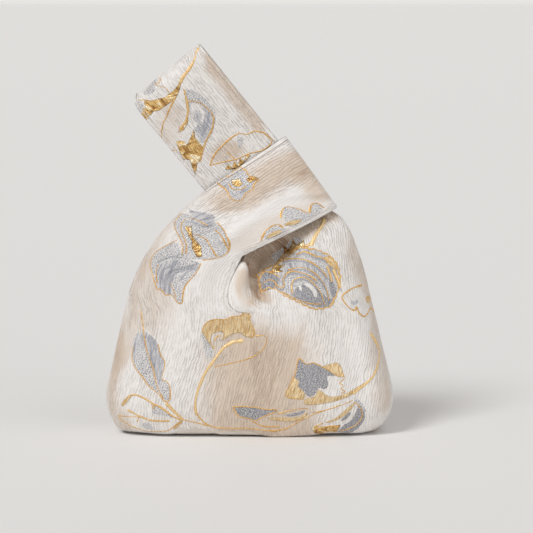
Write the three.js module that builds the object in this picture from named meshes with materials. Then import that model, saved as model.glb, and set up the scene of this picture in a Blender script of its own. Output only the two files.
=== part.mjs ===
// A knotted cloth handbag that stands on its flat base. Its front and back are cut alike, each in one piece
// with half of a short strap (left) and half of a long strap (right). The long strap is pulled through the
// loop of the short one, which gathers the mouth shut. Each side is an outer cloth and a lining inside it.
// Millimetres, +Z up, the front faces -Y. The origin is the middle of the base.
import * as THREE from "three";

// Driving dimensions of the body
const baseWidth = 200;
const baseDepth = 82;
const baseRound = 5;
const baseSeamInset = 24;
const bodyWidth = 218;
const bodyDepth = 92;
const bulgeHeight = 26;
const bulgeTurn = 0.15;
const neckHeight = 94;
const neckShift = -7;
const widthAtNeck = 188;
const depthAtNeck = 76;
const boxyBase = 4;
const roundNeck = 2.3;

// Driving dimensions of the neckline: a slit that rises from its lowest point to the short strap
const slitHeight = 41;
const slitBulge = 15;
const slitHighBulge = 10.5;
const slitTopShift = 2;
const slitTopDepth = 31;
const frontSlitGap = 2;
const backMouthGap = 19;
const frontHollow = 14;
const backHollow = 0;

// Driving dimensions of the straps
const strapWidth = 67;
const gatheredWidth = 60;
const longStrapLean = 39;
const longStrapReach = 126;
const longLoopDepth = 22;
const shortStrapRise = 36;
const shortLowerRise = 27;
const shortStrapReach = 38.5;
const knotX = 16;
const knotHeight = 174;
const leftShoulder = 76;
const rightShoulder = 68;
const shoulderRun = 10;
const shoulderWay = 155;
const loopMargin = 5.5;
const strapRun = 50;
const lowerRun = 32;
const underStrapRun = 42;
const shortCrown = 5;
const longCrown = 3;
const shortLowerDepth = 26;

// Driving dimensions of the cloth
const outerCloth = 1.2;
const liningCloth = 0.6;
const layerGap = 0.3;
const seamGap = 0.3;
const strapClearance = 0.9;
const slitClearance = 1.5;
const foldHeight = 1.6;
const foldCount = 5;
const foldPhase = 0.6;
const foldEnd = [0.7, 1];

// Where along a strap its form changes, from 0 at the body to 1 at its end: where its front half parts from
// its back half, where its round section becomes flat, and where its crown rises and falls
const shortSplit = [0.4, 0.62];
const shortFlat = [0.2, 0.7];
const shortCrownRise = [0, 0.35];
const shortCrownFall = [0.55, 1];
const longSplit = [0.55, 0.85];
const longFlat = [0.3, 0.85];
const longCrownRise = [0, 0.3];
const longCrownFall = [0.35, 0.8];

// Where the long strap's side sinks into a hollow behind the short strap's lower edge: along it, and across
// it from its seam edge to its neckline edge, where a lip beside the slit stays out
const hollowRise = [0.08, 0.45];
const hollowFall = [0.55, 0.8];
const hollowSide = [0.28, 0.68];
const lipSide = [0.8, 0.93];
const lipEnd = [0.5, 0.62];

// Grid steps of one panel
const leftColumns = 10;
const rightColumns = 16;
const neckCrowding = 1.35;
const baseRows = 2;
const roundRows = 3;
const wallRows = 9;
const shortRows = 16;
const underRows = 9;
const longRows = 7;
const foldRows = 4;

// Sizes that follow from the driving ones
const seamY = -seamGap / 2;
const wall = outerCloth + layerGap + liningCloth;
const longLayer = -(seamGap / 2 + wall + layerGap);
const shortLayer = longLayer - strapClearance - wall - layerGap;
const longLoopY = -longLoopDepth / 2;
const shortFold = -shortLayer + layerGap;
const longFold = -longLoopY + layerGap;

// Directions in the plane of the front, from an angle above +X
const direction = (degrees) => {
  const angle = THREE.MathUtils.degToRad(degrees);
  return new THREE.Vector3(Math.cos(angle), 0, Math.sin(angle));
};
const alongLong = direction(90 + longStrapLean);
const acrossLong = direction(longStrapLean);
const alongShort = direction(shortStrapRise);
const acrossShort = direction(90 + shortStrapRise);
const offset = (from, way, distance) => from.clone().addScaledVector(way, distance);

// The knot, where the straps cross, and the end of the short strap's loop around the long strap's edge
const knot = new THREE.Vector3(knotX, 0, knotHeight);
const knotEdge = gatheredWidth / 2;
const shortEnd = offset(knot, alongShort, shortStrapReach);

// Small helpers
const smooth = (low, high, x) => THREE.MathUtils.smoothstep(x, low, high);
const over = ([low, high], x) => smooth(low, high, x);
const mix = THREE.MathUtils.lerp;
const withDepth = (point, y) => new THREE.Vector3(point.x, y, point.z);
const roundEnd = (distance, reach) => {
  const short = 1 - Math.min(distance / reach, 1);
  return Math.sqrt(1 - short * short);
};
const steps = (count) => Array.from({ length: count }, (_, k) => (k + 1) / count);
const foldSteps = (count) => steps(count).map((s) => Math.sin((s * Math.PI) / 2));

// Half width and half depth of the body at a height. It swells up to the bulge, turns over there and goes
// straight on to the neck.
function halfSize(height, base, bulge, neck) {
  if (height < bulgeHeight) {
    return mix(base, bulge, Math.sin((Math.PI / 2) * (height / bulgeHeight))) / 2;
  }
  const above = (height - bulgeHeight) / (neckHeight - bulgeHeight);
  const run = above < bulgeTurn ? (above * above) / bulgeTurn : 2 * above - bulgeTurn;
  return mix(bulge, neck, run / (2 - bulgeTurn)) / 2;
}
const halfWidth = (height) => halfSize(height, baseWidth, bodyWidth, widthAtNeck);
const halfDepth = (height) => halfSize(height, baseDepth, bodyDepth, depthAtNeck);

// Angles of the grid columns round the front half of the body, left seam to right seam. The column in the
// middle passes through the lowest point of the neckline, and those right of it crowd towards it.
const neckShare = Math.abs(neckShift) / halfWidth(neckHeight);
const neckAngle = Math.acos(Math.sign(neckShift) * Math.pow(neckShare, roundNeck / 2));
const columnAngles = [
  ...Array.from({ length: leftColumns }, (_, i) => mix(Math.PI, neckAngle, i / leftColumns)),
  ...Array.from({ length: rightColumns + 1 }, (_, i) => {
    const share = Math.pow(i / rightColumns, neckCrowding);
    return mix(neckAngle, 0, share);
  }),
];

// One row of points round the front half of the body: a super-ellipse, boxy at the base and round above
function bodyRow(height, inset = 0, depthShare = 1) {
  const boxy = mix(boxyBase, roundNeck, smooth(0, neckHeight, height));
  const across = halfWidth(height) - inset;
  const deep = (halfDepth(height) - inset) * depthShare;
  return columnAngles.map((angle) => {
    const c = Math.cos(angle);
    const x = across * Math.sign(c) * Math.pow(Math.abs(c), 2 / boxy);
    const y = -deep * Math.pow(Math.abs(Math.sin(angle)), 2 / boxy);
    return new THREE.Vector3(x, Math.min(y, seamY), height);
  });
}

// Soft upright folds of the cloth, one height for each column: none at the side seams
const folds = columnAngles.map((angle) => {
  const share = Math.cos(angle);
  const fade = 1 - over(foldEnd, Math.abs(share));
  return foldHeight * fade * Math.sin(share * foldCount * Math.PI + foldPhase);
});
const foldRow = (row, amount) => row.map((point, i) => withDepth(point, point.y - folds[i] * amount));

// Rows of the base, the rounded edge above it and the wall up to the neckline
function bodyRows() {
  const rows = [];
  for (let k = 0; k < baseRows; k += 1) {
    const share = k / baseRows;
    const inset = baseRound + baseSeamInset * (1 - share);
    rows.push(bodyRow(0, inset, share * ((baseDepth / 2 - baseRound) / (baseDepth / 2 - inset))));
  }
  for (let k = 0; k < roundRows; k += 1) {
    const turn = (Math.PI / 2) * (k / roundRows);
    rows.push(bodyRow(baseRound * (1 - Math.cos(turn)), baseRound * (1 - Math.sin(turn))));
  }
  for (let k = 0; k <= wallRows; k += 1) {
    const height = mix(baseRound, neckHeight, k / wallRows);
    rows.push(foldRow(bodyRow(height), smooth(0, neckHeight / 2, height)));
  }
  return rows;
}

// The row at the neckline, split into its left and right parts
const panelRows = bodyRows();
const neckRow = panelRows[panelRows.length - 1];
const leftRow = neckRow.slice(0, leftColumns + 1);
const rightRow = neckRow.slice(leftColumns);
const neckPoint = neckRow[leftColumns];
const bodyLean = Math.atan2(bodyWidth - widthAtNeck, (2 - bulgeTurn) * (neckHeight - bulgeHeight));

// Shares across a row, from its seam edge to its neckline edge, and how far the row stands out at each
function rowProfile(row, edge, neck) {
  return row.map((point) => ({
    across: (point.x - edge.x) / (neck.x - edge.x),
    out: (point.y - edge.y) / (neck.y - edge.y),
  }));
}

// A strap's row between a seam edge and a neckline edge. Near the body it keeps the body's round section,
// further on it is flat with a slight crown. The hollow gives how far it sinks in at each place across it.
function strapRow(profile, edge, neck, flat, crown, depthShare, hollow = () => 0) {
  return profile.map(({ across, out }) => {
    const share = mix(out, across, flat);
    const hump = crown * 4 * across * (1 - across);
    const y = mix(edge.y, neck.y, share) - hump + hollow(across);
    return new THREE.Vector3(
      mix(edge.x, neck.x, across),
      seamY + (y - seamY) * depthShare,
      mix(edge.z, neck.z, across),
    );
  });
}

// An edge in two curves that meet at a point in its middle
function jointEdge(start, lowControls, middle, highControls, end) {
  const edge = new THREE.CurvePath();
  edge.add(new THREE.CubicBezierCurve3(start, ...lowControls, middle));
  edge.add(new THREE.CubicBezierCurve3(middle, ...highControls, end));
  return edge;
}

// The slit as the short strap's side has it: it bulges to the left on its way up
const slitTop = new THREE.Vector3(neckPoint.x + slitTopShift, -slitTopDepth, neckPoint.z + slitHeight);
const slitLow = new THREE.Vector3(neckPoint.x - slitBulge, neckPoint.y, neckPoint.z + slitHeight / 10);
const slitHigh = new THREE.Vector3(slitTop.x - slitHighBulge, -slitTopDepth, slitTop.z - slitHeight / 2);

// Where a strap's side edge points as it goes on from the body's seam, which leans to one side
const shoulder = (start, side, length) => {
  const rise = new THREE.Vector3(side * Math.sin(bodyLean), 0, Math.cos(bodyLean));
  return offset(start, rise, length);
};

// Short strap: from the left part of the neck row, over the knot to the end of its loop
function shortStrapRows() {
  const upper = offset(shortEnd, acrossShort, strapWidth / 2);
  const lower = withDepth(offset(shortEnd, acrossShort, -strapWidth / 2), shortLayer);
  const lowerWay = direction(shortLowerRise);
  const outer = new THREE.CubicBezierCurve3(
    leftRow[0],
    shoulder(leftRow[0], 1, leftShoulder),
    offset(upper, alongShort, -strapRun),
    upper,
  );
  const neckline = jointEdge(
    neckPoint,
    [slitLow, slitHigh],
    slitTop,
    [
      withDepth(offset(slitTop, lowerWay, lowerRun), -slitTopDepth),
      withDepth(offset(lower, lowerWay, -lowerRun), -shortLowerDepth),
    ],
    lower,
  );
  const profile = rowProfile(leftRow, leftRow[0], neckPoint);
  const endSpeed = 3 * strapRun;
  const foldShare = shortFold / endSpeed;
  const stations = [
    ...steps(shortRows).map((s) => s * (1 - foldShare)),
    ...foldSteps(foldRows).map((s) => 1 - foldShare * (1 - s)),
  ];
  return stations.map((v) => {
    const edge = outer.getPoint(v);
    edge.y = mix(seamY, shortLayer, over(shortSplit, v));
    const crown = shortCrown * over(shortCrownRise, v) * (1 - over(shortCrownFall, v));
    const depthShare = roundEnd((1 - v) * endSpeed, shortFold);
    return strapRow(profile, edge, neckline.getPoint(v), over(shortFlat, v), crown, depthShare);
  });
}

// Long strap, first part: from the right part of the neck row up to the knot, under the short strap. Its
// side edge goes in under the short strap beside that one's end. Its neckline edge keeps a gap to the short
// strap's side of the slit and dives under the short strap's edge.
function underStrapRows(profile, gap, hollowDepth) {
  const right = offset(knot, acrossLong, knotEdge);
  const left = withDepth(offset(knot, acrossLong, -knotEdge), longLayer);
  const beside = new THREE.Vector3(gap, 0, 0);
  const under = new THREE.Vector3(gap / 2, wall + slitClearance, 0);
  const top = slitTop.clone().add(under);
  const start = rightRow[rightRow.length - 1];
  const lowerCorner = offset(shortEnd, acrossShort, -strapWidth / 2);
  const pass = offset(lowerCorner, direction(shortLowerRise), -loopMargin);
  const passWay = direction(shoulderWay);
  const outer = jointEdge(
    start,
    [shoulder(start, -1, rightShoulder), offset(pass, passWay, -shoulderRun)],
    pass,
    [offset(pass, passWay, shoulderRun), offset(right, alongLong, -shoulderRun)],
    right,
  );
  const neckline = jointEdge(
    neckPoint,
    [slitLow.clone().add(beside), slitHigh.clone().add(beside)],
    top,
    [
      new THREE.Vector3(top.x, mix(top.y, left.y, 1 / 3), mix(top.z, left.z, 1 / 2)),
      withDepth(offset(left, alongLong, -underStrapRun / 3), longLayer * 2),
    ],
    left,
  );
  return steps(underRows).map((v) => {
    const edge = outer.getPoint(v);
    edge.y = mix(seamY, longLayer, over(longSplit, v));
    const crown = longCrown * over(longCrownRise, v) * (1 - over(longCrownFall, v));
    const depth = hollowDepth * over(hollowRise, v) * (1 - over(hollowFall, v));
    const lip = 1 - over(lipEnd, v);
    const hollow = (across) => depth * over(hollowSide, across) * (1 - lip * over(lipSide, across));
    return strapRow(profile, edge, neckline.getPoint(v), over(longFlat, v), crown, 1, hollow);
  });
}

// Long strap, second part: out of the short strap's loop and up to its own fold
function longStrapRows(profile) {
  const exit = strapWidth / 2 + layerGap;
  const stations = [
    ...steps(longRows).map((s) => s * (longStrapReach - longFold)),
    ...foldSteps(foldRows).map((s) => longStrapReach - longFold * (1 - s)),
  ];
  return stations.map((s) => {
    const centre = offset(knot, alongLong, s);
    const half = mix(gatheredWidth, strapWidth, smooth(0, exit, s)) / 2;
    const y = mix(longLayer, longLoopY, smooth(exit, longStrapReach - longFold, s));
    const edge = withDepth(offset(centre, acrossLong, half), y);
    const neck = withDepth(offset(centre, acrossLong, -half), y);
    return strapRow(profile, edge, neck, 1, 0, roundEnd(longStrapReach - s, longFold));
  });
}

// One panel as a grid: its points, its four-sided faces, and which way is outwards at each point
function panelGrid(slitGap, hollowDepth) {
  const points = [];
  const faces = [];
  const add = (row) => row.map((point) => points.push(point) - 1);
  const join = (low, high) => {
    for (let i = 0; i + 1 < low.length; i += 1) {
      faces.push([low[i], low[i + 1], high[i + 1], high[i]]);
    }
  };
  const joinAll = (rows) => rows.reduce((low, high) => (join(low, high), high));
  const top = joinAll(panelRows.map(add));
  joinAll([top.slice(0, leftColumns + 1), ...shortStrapRows().map(add)]);
  const profile = rowProfile(rightRow, rightRow[rightRow.length - 1], neckPoint);
  const longRow = [...underStrapRows(profile, slitGap, hollowDepth), ...longStrapRows(profile)];
  joinAll([top.slice(leftColumns), ...longRow.map(add)]);
  return { points, faces, normals: gridNormals(points, faces) };
}

// Outward directions of a grid. On a seam the front and back mirror each other, so there it has no Y.
function gridNormals(points, faces) {
  const normals = points.map(() => new THREE.Vector3());
  for (const [a, b, c, d] of faces) {
    const way = new THREE.Vector3()
      .subVectors(points[c], points[a])
      .cross(new THREE.Vector3().subVectors(points[d], points[b]));
    for (const k of [a, b, c, d]) {
      normals[k].add(way);
    }
  }
  normals.forEach((normal, k) => {
    if (points[k].y > seamY - 1e-6) {
      normal.y = 0;
    }
    if (points[k].z === 0) {
      normal.set(0, 0, -1);
    }
    normal.normalize();
  });
  return normals;
}

// A four-sided face seen from its other side, split along the same diagonal
const turnRound = ([a, b, c, d]) => [a, d, c, b];

// A closed sheet between two depths below the outside of a grid. The back is the front seen in a mirror.
function sheet({ points, faces, normals }, fromDepth, toDepth, isBack = false) {
  const side = isBack ? -1 : 1;
  const place = (depth) => points.flatMap((point, k) => {
    const at = offset(point, normals[k], -depth);
    return [at.x, Math.min(at.y, seamY) * side, at.z];
  });
  const count = points.length;
  const corners = [];
  const addFace = (loop) => {
    const [a, b, c, d] = isBack ? turnRound(loop) : loop;
    corners.push(a, b, c, a, c, d);
  };
  const open = new Map();
  for (const face of faces) {
    addFace(face);
    addFace(turnRound(face.map((k) => k + count)));
    face.forEach((a, n) => {
      const b = face[(n + 1) % face.length];
      if (!open.delete(`${b} ${a}`)) {
        open.set(`${a} ${b}`, [a, b]);
      }
    });
  }
  for (const [a, b] of open.values()) {
    addFace([b, a, a + count, b + count]);
  }
  const geometry = new THREE.BufferGeometry();
  const coordinates = [...place(fromDepth), ...place(toDepth)];
  geometry.setAttribute("position", new THREE.Float32BufferAttribute(coordinates, 3));
  geometry.setIndex(corners);
  return geometry;
}

// The bag: two outer panels and two linings
const brocade = () => new THREE.MeshStandardMaterial({ color: 0xe6ddd2, roughness: 0.45, metalness: 0.05 });
const satin = () => new THREE.MeshStandardMaterial({ color: 0xd9d2c8, roughness: 0.4, metalness: 0 });

function named(name, geometry, material) {
  geometry.computeVertexNormals();
  const mesh = new THREE.Mesh(geometry, material);
  mesh.name = name;
  return mesh;
}

const front = panelGrid(frontSlitGap, frontHollow);
const back = panelGrid(backMouthGap, backHollow);
const liningDepth = outerCloth + layerGap;
const bag = new THREE.Group();
bag.add(named("outer_front_panel", sheet(front, 0, outerCloth), brocade()));
bag.add(named("outer_back_panel", sheet(back, 0, outerCloth, true), brocade()));
bag.add(named("lining_front_panel", sheet(front, liningDepth, wall), satin()));
bag.add(named("lining_back_panel", sheet(back, liningDepth, wall, true), satin()));

export default bag;
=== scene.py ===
import math

import bpy
import numpy as np
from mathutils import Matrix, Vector, geometry
from mathutils.bvhtree import BVHTree


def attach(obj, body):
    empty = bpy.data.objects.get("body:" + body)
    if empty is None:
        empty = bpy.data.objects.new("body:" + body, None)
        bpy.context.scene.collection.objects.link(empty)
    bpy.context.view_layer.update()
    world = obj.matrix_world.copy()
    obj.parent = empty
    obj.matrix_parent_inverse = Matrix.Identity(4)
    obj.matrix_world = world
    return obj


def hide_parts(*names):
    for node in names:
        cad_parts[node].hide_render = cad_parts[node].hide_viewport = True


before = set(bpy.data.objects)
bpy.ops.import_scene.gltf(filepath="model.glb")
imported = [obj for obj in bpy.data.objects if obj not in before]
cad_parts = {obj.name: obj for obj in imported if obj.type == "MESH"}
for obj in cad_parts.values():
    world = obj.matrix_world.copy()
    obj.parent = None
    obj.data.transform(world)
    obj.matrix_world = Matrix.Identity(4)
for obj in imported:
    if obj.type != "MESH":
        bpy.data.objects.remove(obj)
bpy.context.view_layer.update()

# A knotted cloth bag in crinkled ivory brocade with gold and grey flowers. Each panel is one fine grid of
# points in the shape of its CAD panel. Lengths are in millimetres until a mesh is made.
MM = 0.001

# Workings: the least length to divide by, how near the middle plane counts as on a seam, and how many
# points lengths are measured by, along a curve and round the neck row
TINY = 1e-9
ON_SEAM = 0.01
CURVE_POINTS = 400
NECK_POINTS = 2000

# Random values: their seed, the size of their table, the seeds of the two sides, what single uses add to
# a side's seed, and the seeds of what both sides share
BAG_SEED = 11
NOISE_TABLE = 256
FRONT_SEED = 1
BACK_SEED = 40
PATCH_SEED = 3
FOIL_SEED = 4
SLACK_SEED = 9
LIFT_SEED = 31
SWELL_SEED = 51

# Body, as in the part's source
BASE_WIDTH = 200
BASE_DEPTH = 82
BASE_ROUND = 5
BASE_SEAM_INSET = 24
BODY_WIDTH = 218
BODY_DEPTH = 92
BULGE_HEIGHT = 26
BULGE_TURN = 0.15
NECK_HEIGHT = 94
NECK_SHIFT = -7
WIDTH_AT_NECK = 188
DEPTH_AT_NECK = 76
BOXY_BASE = 4
ROUND_NECK = 2.3
FOLD_HEIGHT = 1.6
FOLD_COUNT = 5
FOLD_PHASE = 0.6
FOLD_END = (0.7, 1)

# Neckline, as in the part's source
SLIT_HEIGHT = 41
SLIT_BULGE = 15
SLIT_HIGH_BULGE = 10.5
SLIT_TOP_SHIFT = 2
SLIT_TOP_DEPTH = 31
FRONT_SLIT_GAP = -0.8
BACK_MOUTH_GAP = 19
SLIT_CLEARANCE = 1.5
SLIT_TUCK = 1.2
NECK_EASE = 26
HOLLOW_DEPTH = 14
HOLLOW_RISE = (0.08, 0.45)
HOLLOW_FALL = (0.55, 0.8)
HOLLOW_SIDE = (0.28, 0.68)
LIP_SIDE = (0.8, 0.93)
LIP_END = (0.5, 0.62)

# Straps, as in the part's source
STRAP_WIDTH = 67
GATHERED_WIDTH = 60
LONG_STRAP_LEAN = 39
LONG_STRAP_REACH = 126
LONG_LOOP_Y = -11
LONG_FOLD = 11.3
CORNER_ROUND = 5
SHORT_STRAP_RISE = 36
SHORT_LOWER_RISE = 27
SHORT_STRAP_REACH = 38.5
SHORT_FOLD = 6.15
KNOT = np.array([16, 0, 174])
LEFT_SHOULDER = 76
RIGHT_SHOULDER = 68
SHOULDER_RUN = 10
SHOULDER_WAY = 155
LOOP_MARGIN = 5.5
STRAP_RUN = 50
LOWER_RUN = 32
UNDER_STRAP_RUN = 42
SHORT_CROWN = 5
LONG_CROWN = 3
SHORT_LOWER_DEPTH = 26
LONG_LAYER = -2.55
SHORT_LAYER = -5.85
WALL = 2.1
LAYER_GAP = 0.3
SHORT_SPLIT = (0.4, 0.62)
SHORT_FLAT = (0.2, 0.7)
SHORT_CROWN_RISE = (0, 0.35)
SHORT_CROWN_FALL = (0.55, 1)
LONG_SPLIT = (0.55, 0.85)
LONG_FLAT = (0.3, 0.85)
LONG_CROWN_RISE = (0, 0.3)
LONG_CROWN_FALL = (0.35, 0.8)

# Lengths of cloth that set how many rows and columns a panel's grid has, and the rows of each strap's fold
LEFT_SPAN = 112
RIGHT_SPAN = 122
BASE_SPAN = 14
ROUND_SPAN = 7
WALL_SPAN = 92
SHORT_SPAN = 150
UNDER_SPAN = 100
LOOP_SPAN = 122
SHORT_FOLD_ROWS = 10
LONG_FOLD_ROWS = 14
LEAST_ROWS = 4

# The photo: its size in pixels, the scale at the target and where the camera stands
IMAGE = 533
PIXEL = 0.75
ELEVATION = math.radians(6)
DISTANCE = 1900
TARGET = np.array([13.1, -20, 126.4])
VIEW_UP = np.array([0, math.sin(ELEVATION), math.cos(ELEVATION)])
VIEW_AHEAD = np.array([0, math.cos(ELEVATION), -math.sin(ELEVATION)])
EYE = TARGET - DISTANCE * VIEW_AHEAD


# Small helpers
def mix(a, b, share):
    return a + (b - a) * share


def smooth(low, high, x):
    """From 0 at low to 1 at high, with soft ends"""
    t = np.clip((x - low) / (high - low), 0, 1)
    return t * t * (3 - 2 * t)


def over(ends, x):
    return smooth(*ends, x)


def unit(vectors):
    return vectors / np.maximum(np.linalg.norm(vectors, axis=1, keepdims=True), TINY)


def direction(degrees):
    angle = math.radians(degrees)
    return np.array([math.cos(angle), 0, math.sin(angle)])


def with_depth(point, y):
    return np.array([point[0], y, point[2]])


def lengths(points, axis=0):
    """Running length along an array of points"""
    step = np.linalg.norm(np.diff(points, axis=axis), axis=-1)
    start = np.zeros_like(np.take(step, [0], axis=axis))
    return np.concatenate([start, np.cumsum(step, axis=axis)], axis=axis)


def points_at(line, stations):
    """Points at given lengths along a line"""
    run = lengths(line)
    return np.column_stack([np.interp(stations, run, column) for column in line.T])


def bezier(points, t):
    a, b, c, d = points
    t = np.atleast_1d(t)[:, None]
    return (1 - t) ** 3 * a + 3 * (1 - t) ** 2 * t * b + 3 * (1 - t) * t ** 2 * c + t ** 3 * d


def noise(x, y, seed):
    """Smooth random values from -1 to 1, about one swing for each unit of x and y"""
    table = np.random.default_rng(BAG_SEED + seed).uniform(-1, 1, (NOISE_TABLE, NOISE_TABLE))
    xi, yi = np.floor(x).astype(int), np.floor(y).astype(int)
    fx, fy = smooth(0, 1, x - xi), smooth(0, 1, y - yi)
    xi, yi = xi % (NOISE_TABLE - 1), yi % (NOISE_TABLE - 1)
    low = mix(table[xi, yi], table[xi + 1, yi], fx)
    high = mix(table[xi, yi + 1], table[xi + 1, yi + 1], fx)
    return mix(low, high, fy)


def quads(index):
    """Four-sided faces between the rows and columns of a grid of point numbers"""
    low, high = index[:-1], index[1:]
    return np.stack([low[:, :-1], low[:, 1:], high[:, 1:], high[:, :-1]], -1).reshape(-1, 4)


def outward(points, faces):
    """Directions away from the inside. On a seam they have no Y."""
    a, b, c, d = (points[faces[:, k]] for k in range(4))
    way = np.cross(c - a, d - b)
    normals = np.zeros_like(points)
    for k in range(4):
        np.add.at(normals, faces[:, k], way)
    normals[points[:, 1] > -ON_SEAM, 1] = 0
    return unit(normals)


# Shape of the body
def half_size(height, base, bulge, neck):
    """It swells up to the bulge, turns over there and goes straight on to the neck"""
    if height < BULGE_HEIGHT:
        return mix(base, bulge, math.sin(math.pi / 2 * height / BULGE_HEIGHT)) / 2
    above = (height - BULGE_HEIGHT) / (NECK_HEIGHT - BULGE_HEIGHT)
    run = above ** 2 / BULGE_TURN if above < BULGE_TURN else 2 * above - BULGE_TURN
    return mix(bulge, neck, run / (2 - BULGE_TURN)) / 2


def body_row(angles, height, inset=0, depth_share=1):
    boxy = mix(BOXY_BASE, ROUND_NECK, smooth(0, NECK_HEIGHT, height))
    across = half_size(height, BASE_WIDTH, BODY_WIDTH, WIDTH_AT_NECK) - inset
    deep = (half_size(height, BASE_DEPTH, BODY_DEPTH, DEPTH_AT_NECK) - inset) * depth_share
    c = np.cos(angles)
    x = across * np.sign(c) * np.abs(c) ** (2 / boxy)
    y = -deep * np.abs(np.sin(angles)) ** (2 / boxy)
    return np.column_stack([x, np.minimum(y, 0), np.full_like(x, height)])


def wall_row(angles, height):
    row = body_row(angles, height)
    share = np.cos(angles)
    wave = np.sin(share * FOLD_COUNT * math.pi + FOLD_PHASE)
    fold = FOLD_HEIGHT * (1 - over(FOLD_END, np.abs(share))) * wave
    row[:, 1] = np.minimum(row[:, 1] - fold * smooth(0, NECK_HEIGHT / 2, height), 0)
    return row


def even_angles(start, end, count):
    """Angles round the body that part the neck row into even lengths"""
    fine = np.linspace(start, end, NECK_POINTS)
    run = lengths(wall_row(fine, NECK_HEIGHT))
    return np.interp(np.linspace(0, run[-1], count + 1), run, fine)


def body_rows(angles, base_steps, round_steps, wall_steps):
    rows = []
    for share in np.arange(base_steps) / base_steps:
        inset = BASE_ROUND + BASE_SEAM_INSET * (1 - share)
        flat_depth = (BASE_DEPTH / 2 - BASE_ROUND) / (BASE_DEPTH / 2 - inset)
        rows.append(body_row(angles, 0, inset, share * flat_depth))
    for turn in math.pi / 2 * np.arange(round_steps) / round_steps:
        rows.append(body_row(angles, BASE_ROUND * (1 - math.cos(turn)), BASE_ROUND * (1 - math.sin(turn))))
    for height in np.linspace(BASE_ROUND, NECK_HEIGHT, wall_steps + 1):
        rows.append(wall_row(angles, height))
    return np.array(rows)


# Shape of the straps
ALONG_LONG = direction(90 + LONG_STRAP_LEAN)
ACROSS_LONG = direction(LONG_STRAP_LEAN)
ALONG_SHORT = direction(SHORT_STRAP_RISE)
ACROSS_SHORT = direction(90 + SHORT_STRAP_RISE)
LOWER_WAY = direction(SHORT_LOWER_RISE)
SHORT_END = KNOT + ALONG_SHORT * SHORT_STRAP_REACH
SHORT_HALF = ACROSS_SHORT * STRAP_WIDTH / 2
LONG_HALF = ACROSS_LONG * GATHERED_WIDTH / 2
STRAIGHT_RISE = (NECK_HEIGHT - BULGE_HEIGHT) * (2 - BULGE_TURN) / 2
BODY_LEAN = math.atan2((BODY_WIDTH - WIDTH_AT_NECK) / 2, STRAIGHT_RISE)
NECK_LEAN = (BODY_DEPTH / DEPTH_AT_NECK - 1) / STRAIGHT_RISE


class Profile:
    """How a strap's first row stands out between its seam edge and its neckline edge"""

    def __init__(self, row, edge, neck):
        self.across = (row[:, 0] - edge[0]) / (neck[0] - edge[0])
        self.out = (row[:, 1] - edge[1]) / (neck[1] - edge[1])
        run = lengths(row)
        self.even = run / run[-1] if self.across[0] < 0.5 else 1 - run / run[-1]
        self.order = np.argsort(self.across)

    def row(self, edge, neck, flat, crown, depth_share, hollow=0, lip=0):
        across = mix(self.across, self.even, flat)
        out = np.interp(across, self.across[self.order], self.out[self.order])
        y = mix(edge[1], neck[1], mix(out, across, flat)) - crown * 4 * across * (1 - across)
        y = y + hollow * over(HOLLOW_SIDE, across) * (1 - lip * over(LIP_SIDE, across))
        points = mix(edge, neck, across[:, None])
        points[:, 1] = np.minimum(y * depth_share, 0)
        return points


def round_end(distance, reach):
    short = 1 - min(distance / reach, 1)
    return math.sqrt(max(1 - short * short, 0))


def shoulder(start, side, length):
    """Where a strap's side edge points as it goes on from the body's seam, which leans to one side"""
    return start + np.array([side * math.sin(BODY_LEAN), 0, math.cos(BODY_LEAN)]) * length


def joint_edge(low_curve, high_curve, stations):
    """Points at even lengths along two curves that follow each other"""
    t = np.linspace(0, 1, CURVE_POINTS)
    line = np.vstack([bezier(low_curve, t), bezier(high_curve, t)[1:]])
    return points_at(line, stations * lengths(line)[-1])


def eased(edge, neck):
    """Keeps the body's inward lean in rows just above the neck row"""
    rise = (edge[2] + neck[2]) / 2 - NECK_HEIGHT
    return 1 - NECK_LEAN * rise * math.exp(-rise / NECK_EASE)


def slit(neck_point):
    """Top of the slit and the two control points of its curve"""
    x, y, z = neck_point
    top = np.array([x + SLIT_TOP_SHIFT, -SLIT_TOP_DEPTH, z + SLIT_HEIGHT])
    low = np.array([x - SLIT_BULGE, y, z + SLIT_HEIGHT / 10])
    high = np.array([top[0] - SLIT_HIGH_BULGE, -SLIT_TOP_DEPTH, top[2] - SLIT_HEIGHT / 2])
    return top, low, high


def with_fold(count, fold_count, share):
    """Stations from 0 to 1, closer together over the last share of the way"""
    plain = np.arange(1, count + 1) / count * (1 - share)
    bent = np.sin(np.arange(1, fold_count + 1) / fold_count * math.pi / 2)
    return np.concatenate([plain, 1 - share * (1 - bent)])


def short_rows(first, count, fold_count):
    start, neck_point = first[0], first[-1]
    top, low, high = slit(neck_point)
    upper = SHORT_END + SHORT_HALF
    lower = with_depth(SHORT_END - SHORT_HALF, SHORT_LAYER)
    end_speed = 3 * STRAP_RUN
    stations = with_fold(count, fold_count, SHORT_FOLD / end_speed)
    controls = [start, shoulder(start, 1, LEFT_SHOULDER), upper - ALONG_SHORT * STRAP_RUN, upper]
    outer = bezier(controls, stations)
    before = with_depth(top + LOWER_WAY * LOWER_RUN, -SLIT_TOP_DEPTH)
    after = with_depth(lower - LOWER_WAY * LOWER_RUN, -SHORT_LOWER_DEPTH)
    inner = joint_edge([neck_point, low, high, top], [top, before, after, lower], stations)
    profile = Profile(first, start, neck_point)
    rows = []
    for v, edge, neck in zip(stations, outer, inner):
        edge[1] = mix(0, SHORT_LAYER, over(SHORT_SPLIT, v))
        crown = SHORT_CROWN * over(SHORT_CROWN_RISE, v) * (1 - over(SHORT_CROWN_FALL, v))
        share = round_end((1 - v) * end_speed, SHORT_FOLD) * eased(edge, neck)
        rows.append(profile.row(edge, neck, over(SHORT_FLAT, v), crown, share))
    return rows


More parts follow.
